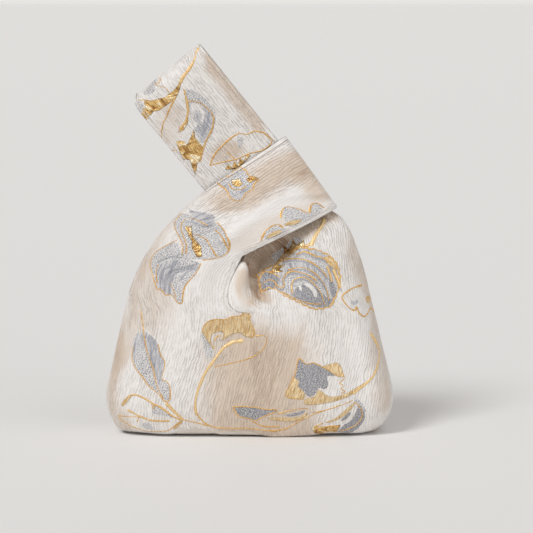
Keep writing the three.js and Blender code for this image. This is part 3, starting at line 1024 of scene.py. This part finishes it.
# Cloth detail, in millimetres
OUTER_STEPS = (0.72, 1.25)
LINING_STEPS = (2.4, 2.8)
LINING_DEPTH = 1.75
LINING_INSET = 1.3
LINING_INSET_MOST = 0.8
LINING_CLEARANCE = 0.1
HEM_ROUND = 1.7
HEM_DROP = 1.0
SLACK_HEIGHT = 0.7
SLACK_SIZE = 38
BASE_LIFT = 1.9
LIFT_HEIGHT = 22
LIFT_SIZE = 21
BASE_AT_REST = 0.4
GOLD_RELIEF = 0.25
FIELD_RELIEF = 0.14
FIELD_RIM = (0.4, -0.4)
FOIL_RELIEF = 0.32
FOIL_RIM = (0.4, -0.5)
FOIL_SIZE = 5
STITCH_INSET = 3.6
STITCH_ROWS = slice(4, -2)
STITCH_START = 2
STITCH_PITCH = 3.2
STITCH_LENGTH = 2.3
STITCH_WIDTH = 0.55
GROOVE_WIDTH = 0.8
GROOVE_DEPTH = 0.15
RIBBON_STEP = 0.75
RIBBON_RISE = 0.3
LINE_SWELL = 0.45
SWELL_SIZE = 7
BACK_SHIFT = 14
BACK_SHADE_TONE = 0.4
RIDGE_REACH = 3
RIDGE_FALL = 2
SHADE_TONE_FALL = 3
SHADE_TONE_MOST = 2
LOOK_REACH = 3

# The turned edge of the outer cloth: how far each of its rows lies under the edge, and how far inward.
# Inward is towards the point that many columns from the edge.
HEM_ROWS = ((0.25, 0.5), (0.3, 3))
HEM_REACH = 3

# Crinkle: its ridges, how far they sway with the size of each sway across and along, and how deep they are
CRINKLE_HEIGHT = 0.28
CRINKLE_PITCH = 2.2
CRINKLE_MIDDLE = 0.6
CRINKLE_SWAY = ((1.3, 19, 26), (0.9, 7, 10), (0.6, 3, 5))
CRINKLE_DEPTH = 0.75
CRINKLE_CHANGE = 0.35
CRINKLE_PATCH = (9, 34)

# Where the cloth lies calm: near side seams and strap edges, near strap ends, and from how far above the
# neck row also near a strap's neckline edge. Then how soon above the neck row that edge is free, and how
# much of the hem's roll a seam has.
CALM_EDGE = 7
CALM_END = 9
CALM_NECK = (10, 60)
FREE_RISE = 6
SEAM_SHARE = 0.7


def crinkle_phase(uv, seed):
    """Counts the crinkle's ridges across the cloth. They wander as they run along its length."""
    u, v = uv.T
    sway = 0
    for k, (far, across, along) in enumerate(CRINKLE_SWAY):
        sway = sway + far * noise(u / across, v / along, seed + k)
    return (u + sway) / CRINKLE_PITCH


def border_distance(panel):
    """Distance of each point to the nearer border of its row"""
    found = np.zeros(len(panel.points))
    for index in (panel.short, panel.long, panel.body):
        u = panel.uv[index, 0]
        found[index] = np.minimum(u - u[:, :1], u[:, -1:] - u)
    return found


def calm(panel):
    """1 over the cloth, down to 0 at side seams, strap edges and strap ends, where front and back meet"""
    found = smooth(0, CALM_EDGE, border_distance(panel))
    for index, seam in ((panel.short[1:], 0), (panel.long[1:], -1)):
        u, v = panel.uv[index, 0], panel.uv[index, 1]
        from_seam = smooth(0, CALM_EDGE, np.abs(u - u[:, [seam]]))
        found[index] = mix(from_seam, found[index], over(CALM_NECK, v - panel.neck_v))
        found[index] *= smooth(0, CALM_END, v[-1:] - v)
    return found


class Design:
    """The flowers, forms and beige zones of painted shade and cloth colour in flat cloth coordinates, for
    one side of the bag
    """

    def __init__(self, cloths, is_back):
        def place(line, flap, turned, is_loop=False, rounds=2):
            flat = softened([cloths[flap].at_pixel(pixel) for pixel in line], is_loop, rounds)
            return flat * (-1, 1) + (BACK_SHIFT, 0) if turned else flat

        def facing(flap, turned):
            return SHORT + LONG - flap if turned else flap

        def zones(rows, most=np.inf):
            return [
                (facing(flap, is_back), place(line, flap, is_back), width, min(amount, most))
                for flap, line, width, amount in rows
            ]

        self.flowers, self.lines, self.streaks = [], [], []
        for flower in FLOWERS:
            flap = flower["flap"]
            turned = is_back and "loop" not in flower
            side = facing(flap, turned)
            loops = {}
            for kind in (*FIELDS, "bare"):
                rounds = 0 if kind == "foil" else 1
                loops[kind] = [place(loop, flap, turned, True, rounds) for loop in flower.get(kind, [])]
            self.flowers.append((side, loops))
            for kind, found in (("lines", self.lines), ("streaks", self.streaks)):
                found += [(side, width, place(line, flap, turned)) for width, line in flower.get(kind, [])]
        self.forms = [] if is_back else zones(FORMS)
        self.shade_tones = zones(SHADE_TONES, BACK_SHADE_TONE) if is_back else zones(SHADE_TONES)
        self.smooth = zones(SMOOTH)

    def fields(self, panel):
        """Distance to the nearest field of each kind and to the nearest streak, negative inside"""
        found = {kind: np.full(len(panel.uv), float(FIELD_REACH)) for kind in (*FIELDS, "dark")}
        for flap, loops in self.flowers:
            chosen = np.flatnonzero(panel.shows(flap))
            uv = panel.uv[chosen]
            bare = np.full(len(uv), float(FIELD_REACH))
            for loop in loops["bare"]:
                bare = np.minimum(bare, outline_distance(uv, loop))
            for kind in FIELDS:
                for loop in loops[kind]:
                    distance = np.maximum(outline_distance(uv, loop), -bare)
                    found[kind][chosen] = np.minimum(found[kind][chosen], distance)
        for flap, width, line in self.streaks:
            chosen = np.flatnonzero(panel.shows(flap))
            distance = line_distance(panel.uv[chosen], line, FIELD_REACH) - width / 2
            found["dark"][chosen] = np.minimum(found["dark"][chosen], distance)
        return found

    def form(self, panel):
        return self.ridges(panel, self.forms)

    # Beige zones: painted shade and sheen with some of the cloth's own beige, up to painted umber shadow
    def tone(self, panel):
        return np.clip(self.ridges(panel, self.shade_tones, SHADE_TONE_FALL), 0, SHADE_TONE_MOST)

    def crinkled(self, panel):
        """1 where the cloth is crinkled and 0 where it is smooth"""
        return 1 - np.clip(self.ridges(panel, self.smooth), 0, 1)

    def ridges(self, panel, zones, fall=RIDGE_FALL):
        """The sum of soft ridges along flat lines, with steeper sides where fall is higher"""
        total = np.zeros(len(panel.uv))
        for flap, line, width, amount in zones:
            chosen = np.flatnonzero(panel.shows(flap))
            distance = line_distance(panel.uv[chosen], line, RIDGE_REACH * width)
            total[chosen] += amount * np.exp(-(distance / width) ** fall)
        return total


def soft_lift(panel, design, seed):
    """How far slack and the soft forms lift the cloth, outer and lining alike"""
    slack = SLACK_HEIGHT * noise(*panel.uv.T / SLACK_SIZE, seed + SLACK_SEED)
    return (slack + design.form(panel)) * calm(panel)


def lifted_base(panel, points):
    """The front edge of the base rises a little from the ground in places"""
    row = np.arange(panel.body.shape[0])[:, None]
    height = panel.points[panel.body, 2]
    base_rows = (height == 0).all(1).sum()
    under = smooth(base_rows * BASE_AT_REST, base_rows, row)
    share = np.where(height > 0, 1 - smooth(0, LIFT_HEIGHT, height), under)
    rise = BASE_LIFT * (1 + noise(panel.uv[panel.body, 0] / LIFT_SIZE, np.zeros_like(height), LIFT_SEED))
    points[panel.body, 2] += rise * share


def shaped(panel, design, seed):
    """The panel's points as the outer cloth shows them, and what its material reads at each"""
    fields = design.fields(panel)
    edge = border_distance(panel)
    free = smooth(0, FREE_RISE, panel.uv[:, 1] - panel.neck_v) * (panel.flap != BODY)
    seam = np.where(panel.flap == BODY, SEAM_SHARE, free)
    roll = np.clip(1 - edge / HEM_ROUND, 0, 1)
    lift = -HEM_DROP * seam * (1 - np.sqrt(1 - roll ** 2))
    lift -= GROOVE_DEPTH * free * np.exp(-((edge - STITCH_INSET) / GROOVE_WIDTH) ** 2)
    phase = crinkle_phase(panel.uv, seed)
    patch = noise(*(panel.uv / CRINKLE_PATCH).T, seed + PATCH_SEED)
    depth = design.crinkled(panel) * (CRINKLE_DEPTH + CRINKLE_CHANGE * patch)
    ridge = np.sin(math.pi * phase) ** 2 - CRINKLE_MIDDLE
    lift += CRINKLE_HEIGHT * ridge * depth * np.sqrt(calm(panel))
    lift += soft_lift(panel, design, seed)
    lift += GOLD_RELIEF * over(FIELD_RIM, fields["gold"])
    crumple = noise(*panel.uv.T / FOIL_SIZE, seed + FOIL_SEED)
    lift += FOIL_RELIEF * (1 + crumple) * over(FOIL_RIM, fields["foil"])
    lift += FIELD_RELIEF * over(FIELD_RIM, np.min([fields[kind] for kind in GREYS], 0))
    lift *= np.where(panel.points[:, 2] == 0, 0, 1)
    points = panel.points + panel.normals * lift[:, None]
    lifted_base(panel, points)
    points[:, 1] = np.minimum(points[:, 1], 0)
    points[:, 2] = np.maximum(points[:, 2], 0)
    looks = {"cloth": panel.flat, "tone": design.tone(panel), "phase": phase, "depth": depth}
    looks.update({kind: np.clip(distance, -LOOK_REACH, LOOK_REACH) for kind, distance in fields.items()})
    return points, looks


def outer_sheet(panel, points, normals):
    """All points and faces of an outer panel, with strips that turn under along the edges of its straps,
    and for each point the panel point that it follows"""
    every, faces, follows = [points], [panel.faces], [np.arange(len(points))]
    start = len(points)
    for index in (panel.short[1:], panel.long[1:]):
        for border, inner in ((0, HEM_REACH), (-1, -1 - HEM_REACH)):
            edge = index[:, border]
            inward = unit(points[index[:, inner]] - points[edge])
            rows = [points[edge] - normals[edge] * drop + inward * way for drop, way in HEM_ROWS]
            added = np.stack(rows, 1)
            added[:, :, 1] = np.minimum(added[:, :, 1], 0)
            numbers = start + np.arange(added[..., 0].size).reshape(-1, len(HEM_ROWS))
            strip = np.column_stack([edge, numbers])
            faces.append(quads(strip[:, ::-1] if border == 0 else strip))
            every.append(added.reshape(-1, 3))
            follows.append(np.repeat(edge, len(HEM_ROWS)))
            start += numbers.size
    return np.concatenate(every), np.concatenate(faces), np.concatenate(follows)


def lining_sheet(panel, design, seed):
    """The lining lies under the outer cloth and ends short of its edges"""
    lift = -LINING_DEPTH + soft_lift(panel, design, seed)
    points = panel.points + panel.normals * lift[:, None]
    for index in (panel.short[1:], panel.long[1:]):
        for border, inner in ((0, 1), (-1, -2)):
            way = points[index[:, inner]] - points[index[:, border]]
            length = np.linalg.norm(way, axis=1, keepdims=True)
            points[index[:, border]] += way * np.minimum(LINING_INSET / length, LINING_INSET_MOST)
    points[:, 1] = np.minimum(points[:, 1], -LINING_CLEARANCE)
    return points


# Ribbons that lie on the cloth, gold lines and stitches: places across one, how high each stands, and how
# much of its width it has at its end
RIBBON_ACROSS = np.array([-1, -0.55, 0, 0.55, 1])
RIBBON_LIFT = np.array([-0.35, 0.8, 1, 0.8, -0.35])
RIBBON_END = 0.35


def ribbon(cloth, points, normals, line, width, swell, step):
    """Rows of points of one raised ribbon along a line in flat coordinates, split where the cloth ends"""
    line = resampled(line, step)
    widths = width * (1 + swell * noise(*line.T / SWELL_SIZE, SWELL_SEED))
    way = unit(np.gradient(line, axis=0))
    beside = np.column_stack([-way[:, 1], way[:, 0]])
    pieces = [[]]
    for k, (place, side) in enumerate(zip(line, beside)):
        taper = min(1, mix(RIBBON_END, 1, min(k, len(line) - 1 - k)))
        reach = widths[k] / 2 * taper
        found = [cloth.at_flat(place + side * across * reach) for across in RIBBON_ACROSS]
        if any(f is None for f in found):
            pieces.append([])
            continue
        row = [
            weights @ points[corners] + weights @ normals[corners] * RIBBON_RISE * lift * taper
            for (corners, weights), lift in zip(found, RIBBON_LIFT)
        ]
        pieces[-1].append(row)
    return [np.array(rows) for rows in pieces if len(rows) > 1]


def ribbon_mesh(cloths, points, normals, lines, swell, step):
    """Points and faces of ribbons along many lines, and how far inside its rim each point lies"""
    every, faces, inside, start = [], [], [], 0
    for flap, width, line in lines:
        for rows in ribbon(cloths[flap], points, normals, line, width, swell, step):
            index = start + np.arange(rows[..., 0].size).reshape(rows.shape[:2])
            every.append(rows.reshape(-1, 3))
            faces.append(quads(index))
            inside.append(np.tile(width / 2 * (1 - np.abs(RIBBON_ACROSS)), len(rows)))
            start += index.size
    return np.concatenate(every), np.concatenate(faces), np.concatenate(inside)


def stitch_lines(panel):
    """Flat lines of single stitches beside the edges of the straps, with strap and width"""
    found = []
    for index, flap in ((panel.short, SHORT), (panel.long, LONG)):
        for border, way in ((0, 1), (-1, -1)):
            line = panel.uv[index[STITCH_ROWS, border]] + (way * STITCH_INSET, 0)
            for begin in np.arange(STITCH_START, lengths(line)[-1] - STITCH_PITCH, STITCH_PITCH):
                ends = np.array([begin, begin + STITCH_LENGTH])
                found.append((flap, STITCH_WIDTH, points_at(line, ends)))
    return found


# Meshes
def new_mesh(name, points, faces, is_back, material, **looks):
    """A smooth mesh, mirrored for the back, with what its material reads at each point"""
    points = points * MM
    if is_back:
        points = points * (1, -1, 1)
        faces = faces[:, ::-1]
    mesh = bpy.data.meshes.new(name)
    mesh.from_pydata(points.tolist(), [], faces.tolist())
    mesh.polygons.foreach_set("use_smooth", np.ones(len(faces), bool))
    mesh.materials.append(material)
    for look, values in looks.items():
        kind, key = ("FLOAT", "value") if values.ndim == 1 else ("FLOAT_VECTOR", "vector")
        layer = mesh.attributes.new(look, kind, "POINT")
        layer.data.foreach_set(key, values.astype(np.float32).ravel())
    piece = bpy.data.objects.new(name, mesh)
    bpy.context.scene.collection.objects.link(piece)
    return piece


# Materials
def rgb(red, green, blue):
    """A colour as a screen shows it, from 0 to 255, as the shader takes it"""
    shares = np.array([red, green, blue]) / 255
    linear = np.where(shares < 0.04045, shares / 12.92, ((shares + 0.055) / 1.055) ** 2.4)
    return (*linear.tolist(), 1)


class Shader:
    """A node material, with short calls for the nodes used here"""

    def __init__(self, name):
        self.material = bpy.data.materials.new(name)
        self.material.use_nodes = True
        self.tree = self.material.node_tree
        self.surface = self.tree.nodes["Principled BSDF"]

    def put(self, socket, value):
        if isinstance(value, bpy.types.NodeSocket):
            self.tree.links.new(value, socket)
        else:
            socket.default_value = value

    def set(self, **values):
        for name, value in values.items():
            self.put(self.surface.inputs[name.replace("_", " ")], value)

    def node(self, kind, inputs, **settings):
        made = self.tree.nodes.new(kind)
        for name, value in settings.items():
            setattr(made, name, value)
        for name, value in inputs.items():
            self.put(made.inputs[name], value)
        return made

    def attribute(self, name, output="Fac"):
        return self.node("ShaderNodeAttribute", {}, attribute_name=name).outputs[output]

    def place(self):
        return self.node("ShaderNodeTexCoord", {}).outputs["Object"]

    def noise(self, vector, scale, detail=2, roughness=0.5, distortion=0):
        scaled = self.node("ShaderNodeVectorMath", {0: vector, 1: scale}, operation="MULTIPLY").outputs[0]
        inputs = {"Vector": scaled, "Scale": 1, "Detail": detail}
        inputs.update({"Roughness": roughness, "Distortion": distortion})
        return self.node("ShaderNodeTexNoise", inputs).outputs[0]

    def range(self, value, low, high, to_low=0, to_high=1):
        inputs = {"Value": value, "From Min": low, "From Max": high, "To Min": to_low, "To Max": to_high}
        return self.node("ShaderNodeMapRange", inputs, interpolation_type="SMOOTHSTEP").outputs[0]

    def blend(self, share, low, high):
        """Mixes colours, which are inputs 6 and 7 and output 2 of the node"""
        return self.node("ShaderNodeMix", {0: share, 6: low, 7: high}, data_type="RGBA").outputs[2]

    def math(self, operation, a, b=0.0):
        return self.node("ShaderNodeMath", {0: a, 1: b}, operation=operation).outputs[0]

    def times(self, a, b):
        return self.math("MULTIPLY", a, b)

    def bump(self, height, distance):
        inputs = {"Height": height, "Distance": distance, "Strength": 1}
        return self.node("ShaderNodeBump", inputs).outputs[0]


IVORY = rgb(242, 239, 236)
# Partly the cloth's own beige, partly painted shade and missing sheen
BEIGE_TONE_AND_SHADE = rgb(217, 199, 181)
# Painted shadow, for the hollow under the short strap and the valley beside the slit
UMBER_PAINTED_SHADOW = rgb(170, 140, 114)
# Painted shade in the crinkle's valleys, also used for the fine weave
CREASE_SHADE_AND_WEAVE = rgb(188, 172, 158)
SILVER_LIGHT = rgb(235, 231, 227)
SILVER_DARK = rgb(146, 149, 160)
GREY_LIGHT = rgb(214, 212, 214)
GREY_DARK = rgb(149, 152, 164)
SLATE_LIGHT = rgb(208, 203, 197)
SLATE = rgb(116, 120, 136)
GOLD = rgb(230, 206, 164)
GOLD_DARK = rgb(206, 170, 116)
# Crumpled foil: its light and dark colours are painted highlights and painted dark reflections
FOIL_PAINTED_HIGHLIGHT = rgb(252, 240, 208)
FOIL = rgb(224, 186, 122)
FOIL_PAINTED_DARK_REFLECTION = rgb(166, 122, 66)
LINE_GOLD_PALE = rgb(236, 208, 154)
LINE_GOLD = rgb(226, 186, 120)
LINE_GOLD_DARK = rgb(188, 138, 72)
SATIN_LIGHT = rgb(226, 218, 209)
SATIN_DARK = rgb(214, 204, 194)
THREAD_LIGHT = rgb(240, 234, 226)
THREAD_DARK = rgb(216, 206, 196)
FLOOR_COLOUR = rgb(248, 247, 246)
BACKDROP = rgb(231, 228, 225)


def brocade_material():
    shader = Shader("ivory_brocade")
    cloth = shader.attribute("cloth", "Vector")
    jitter = shader.noise(cloth, (0.5, 0.22, 1))
    broken = shader.noise(cloth, (0.3, 0.15, 1))
    weave = shader.noise(cloth, (3.2, 0.9, 1))
    cloudy = shader.noise(cloth, (0.05, 0.015, 1))
    mottle = shader.noise(cloth, (0.33, 0.05, 1), 3, 0.6)
    speckle = shader.noise(cloth, (1.2, 1.2, 1), 1, 0.7)
    streaks = shader.noise(cloth, (0.45, 0.07, 1), 2, 0.5, 0.6)
    hatch = shader.noise(cloth, (0.8, 0.16, 1), 2, 0.5, 0.5)
    crumple = shader.noise(cloth, (0.17, 0.13, 1), 2, 0.6, 1.2)

    # Ivory cloth, beige in places where shade and missing sheen are painted, with painted umber shadow in
    # recesses, and painted shade as a darker crease in each valley of the crinkle, over a fine darker weave
    phase = shader.math("ADD", shader.attribute("phase"), shader.range(jitter, 0.2, 0.8, -0.22, 0.22))
    valley = shader.math("COSINE", shader.times(phase, 2 * math.pi))
    crease = shader.times(shader.range(valley, -0.6, 1), shader.range(broken, 0.3, 0.65, 0.25, 1))
    crease = shader.times(crease, shader.attribute("depth"))
    tone = shader.times(shader.attribute("tone"), shader.range(mottle, 0.3, 0.7, 0.78, 1.1))
    tone = shader.math("ADD", tone, shader.range(cloudy, 0.35, 0.7, -0.15, 0.15))
    colour = shader.blend(shader.range(tone, 0, 1), IVORY, BEIGE_TONE_AND_SHADE)
    # Past 1 the beige turns to painted umber shadow in recesses
    colour = shader.blend(shader.range(tone, 1, 2), colour, UMBER_PAINTED_SHADOW)
    # Painted shade in each valley of the crinkle
    colour = shader.blend(shader.times(crease, 0.42), colour, CREASE_SHADE_AND_WEAVE)
    colour = shader.blend(shader.range(weave, 0.3, 0.6, 0.14, 0), colour, CREASE_SHADE_AND_WEAVE)

    # The fields of the flowers, one over the other
    silver, grey, slate, gold, foil = (shader.range(shader.attribute(kind), 0.2, -0.2) for kind in FIELDS)
    glitter = shader.blend(shader.range(speckle, 0.39, 0.56), SILVER_DARK, SILVER_LIGHT)
    satin = shader.blend(shader.range(streaks, 0.36, 0.6), GREY_DARK, GREY_LIGHT)
    colour = shader.blend(silver, colour, glitter)
    colour = shader.blend(grey, colour, shader.blend(0.3, satin, glitter))
    speckled = shader.blend(shader.range(speckle, 0.42, 0.62), SLATE, SLATE_LIGHT)
    colour = shader.blend(slate, colour, speckled)
    # Dark streaks: strokes of the pattern, and painted shade under the rose's arcs and along the shoulder
    # leaf's folds
    colour = shader.blend(shader.range(shader.attribute("dark"), 0.5, -0.5, 0, 0.5), colour, SLATE)
    colour = shader.blend(gold, colour, shader.blend(shader.range(hatch, 0.35, 0.6), GOLD_DARK, GOLD))
    # Foil: painted highlights and painted dark reflections over the crumple
    leaf = shader.blend(shader.range(crumple, 0.34, 0.5), FOIL_PAINTED_DARK_REFLECTION, FOIL)
    leaf = shader.blend(shader.range(crumple, 0.54, 0.66), leaf, FOIL_PAINTED_HIGHLIGHT)
    colour = shader.blend(foil, colour, leaf)

    height = shader.math("SUBTRACT", shader.times(weave, 0.15), crease)
    height = shader.math("ADD", height, shader.times(shader.times(gold, hatch), 2))
    height = shader.math("ADD", height, shader.times(shader.times(foil, crumple), 5))
    rough = shader.range(weave, 0.2, 0.8, 0.36, 0.52)
    shader.set(
        Base_Color=colour,
        Metallic=shader.math("MAXIMUM", shader.times(gold, 0.3), shader.times(foil, 0.7)),
        Roughness=shader.math("SUBTRACT", rough, shader.times(foil, 0.16)),
        Sheen_Weight=0.12,
        Sheen_Roughness=0.4,
        Normal=shader.bump(height, 0.00055),
    )
    return shader.material


def gold_material():
    shader = Shader("gold_thread")
    shine = shader.noise(shader.place(), (900, 900, 900))
    colour = shader.blend(shader.range(shine, 0.3, 0.65), LINE_GOLD_DARK, LINE_GOLD)
    middle = shader.range(shader.attribute("inside_rim"), 0.4, 0.9)
    shader.set(
        Base_Color=shader.blend(middle, colour, LINE_GOLD_PALE),
        Metallic=0.35,
        Roughness=shader.range(shine, 0.2, 0.8, 0.5, 0.3),
        Normal=shader.bump(shine, 0.0003),
    )
    return shader.material


def satin_material():
    shader = Shader("satin_lining")
    cloth = shader.attribute("cloth", "Vector")
    weave = shader.noise(cloth, (2.5, 0.8, 1))
    cloudy = shader.noise(cloth, (0.06, 0.03, 1))
    shader.set(
        Base_Color=shader.blend(shader.range(cloudy, 0.3, 0.7), SATIN_DARK, SATIN_LIGHT),
        Roughness=shader.range(weave, 0.2, 0.8, 0.36, 0.5),
        Sheen_Weight=0.1,
        Normal=shader.bump(weave, 0.0002),
    )
    return shader.material


def thread_material():
    shader = Shader("ivory_thread")
    twist = shader.noise(shader.place(), (2500, 2500, 2500), 1)
    shader.set(
        Base_Color=shader.blend(shader.range(twist, 0.3, 0.7), THREAD_DARK, THREAD_LIGHT),
        Roughness=0.6,
        Sheen_Weight=0.2,
        Normal=shader.bump(twist, 0.0001),
    )
    return shader.material


BROCADE = brocade_material()
GOLD_THREAD = gold_material()
SATIN = satin_material()
THREAD = thread_material()


def on_bag(piece, slot, *nodes):
    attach(piece, "root")
    if nodes:
        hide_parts(*nodes)


def make_side(side, gap, hollow, is_back, design, seed):
    """All pieces of the front or the back. Without a design it makes its own from the photo."""
    panel = Panel(gap, hollow, *OUTER_STEPS)
    cloths = {flap: Cloth(panel, flap) for flap in (SHORT, LONG)}
    design = design or Design(cloths, is_back=False)
    points, looks = shaped(panel, design, seed)
    normals = outward(points, panel.faces)
    every, faces, follows = outer_sheet(panel, points, normals)
    looks = {name: values[follows] for name, values in looks.items()}
    outer = new_mesh(f"brocade_{side}", every, faces, is_back, BROCADE, **looks)
    *gold_mesh, inside_rim = ribbon_mesh(cloths, points, normals, design.lines, LINE_SWELL, RIBBON_STEP)
    gold = new_mesh(f"gold_lines_{side}", *gold_mesh, is_back, GOLD_THREAD, inside_rim=inside_rim)
    *thread_mesh, _ = ribbon_mesh(cloths, points, normals, stitch_lines(panel), 0, STITCH_WIDTH)
    thread = new_mesh(f"topstitch_{side}", *thread_mesh, is_back, THREAD)
    inside = Panel(gap, hollow, *LINING_STEPS)
    under = lining_sheet(inside, design, seed)
    lining = new_mesh(f"lining_{side}", under, inside.faces, is_back, SATIN, cloth=inside.flat)
    on_bag(outer, "brocade", f"outer_{side}_panel")
    on_bag(gold, "brocade")
    on_bag(thread, "brocade")
    on_bag(lining, "lining", f"lining_{side}_panel")
    return cloths


front_cloths = make_side("front", FRONT_SLIT_GAP, HOLLOW_DEPTH, is_back=False, design=None, seed=FRONT_SEED)
back_design = Design(front_cloths, is_back=True)
make_side("back", BACK_MOUTH_GAP, hollow=0, is_back=True, design=back_design, seed=BACK_SEED)

# Floor, in metres
FLOOR_SIZE = 400
half = FLOOR_SIZE / 2
corners = [(-half, -half, 0), (half, -half, 0), (half, half, 0), (-half, half, 0)]
floor_mesh = bpy.data.meshes.new("floor")
floor_mesh.from_pydata(corners, [], [(0, 1, 2, 3)])
floor = bpy.data.objects.new("floor", floor_mesh)
bpy.context.scene.collection.objects.link(floor)
floor_shader = Shader("pale_floor")
floor_shader.set(Base_Color=FLOOR_COLOUR, Roughness=0.6)
floor_mesh.materials.append(floor_shader.material)

# Light: the world lights the bag less than it shows to the camera and in reflections
WORLD_LIGHT = 0.42
world = bpy.data.worlds.new("studio")
world.use_nodes = True
tree = world.node_tree
light_path = tree.nodes.new("ShaderNodeLightPath")
seen = light_path.outputs["Is Camera Ray"]
for ray in ("Is Glossy Ray", "Is Transmission Ray"):
    either = tree.nodes.new("ShaderNodeMath")
    either.operation = "MAXIMUM"
    tree.links.new(seen, either.inputs[0])
    tree.links.new(light_path.outputs[ray], either.inputs[1])
    seen = either.outputs[0]
strength = tree.nodes.new("ShaderNodeMapRange")
tree.links.new(seen, strength.inputs["Value"])
strength.inputs["To Min"].default_value = WORLD_LIGHT
strength.inputs["To Max"].default_value = 1
tree.links.new(strength.outputs[0], tree.nodes["Background"].inputs["Strength"])
tree.nodes["Background"].inputs["Color"].default_value = BACKDROP
bpy.context.scene.world = world


def sun(name, source, energy, softness):
    data = bpy.data.lights.new(name, "SUN")
    data.energy = energy
    data.angle = math.radians(softness)
    lamp = bpy.data.objects.new(name, data)
    lamp.rotation_euler = Vector(source).to_track_quat("Z", "Y").to_euler()
    bpy.context.scene.collection.objects.link(lamp)


sun("key", source=(-0.85, -0.95, 1.25), energy=1.6, softness=22)
sun("fill", source=(1.2, -0.9, 0.5), energy=0.62, softness=60)

# Camera
camera_data = bpy.data.cameras.new("camera")
camera_data.lens = camera_data.sensor_width * DISTANCE / (IMAGE * PIXEL)
camera = bpy.data.objects.new("camera", camera_data)
camera.location = EYE * MM
camera.rotation_euler = Vector(VIEW_AHEAD).to_track_quat("-Z", "Y").to_euler()
bpy.context.scene.collection.objects.link(camera)
bpy.context.scene.camera = camera
bpy.context.scene.view_settings.view_transform = "Standard"
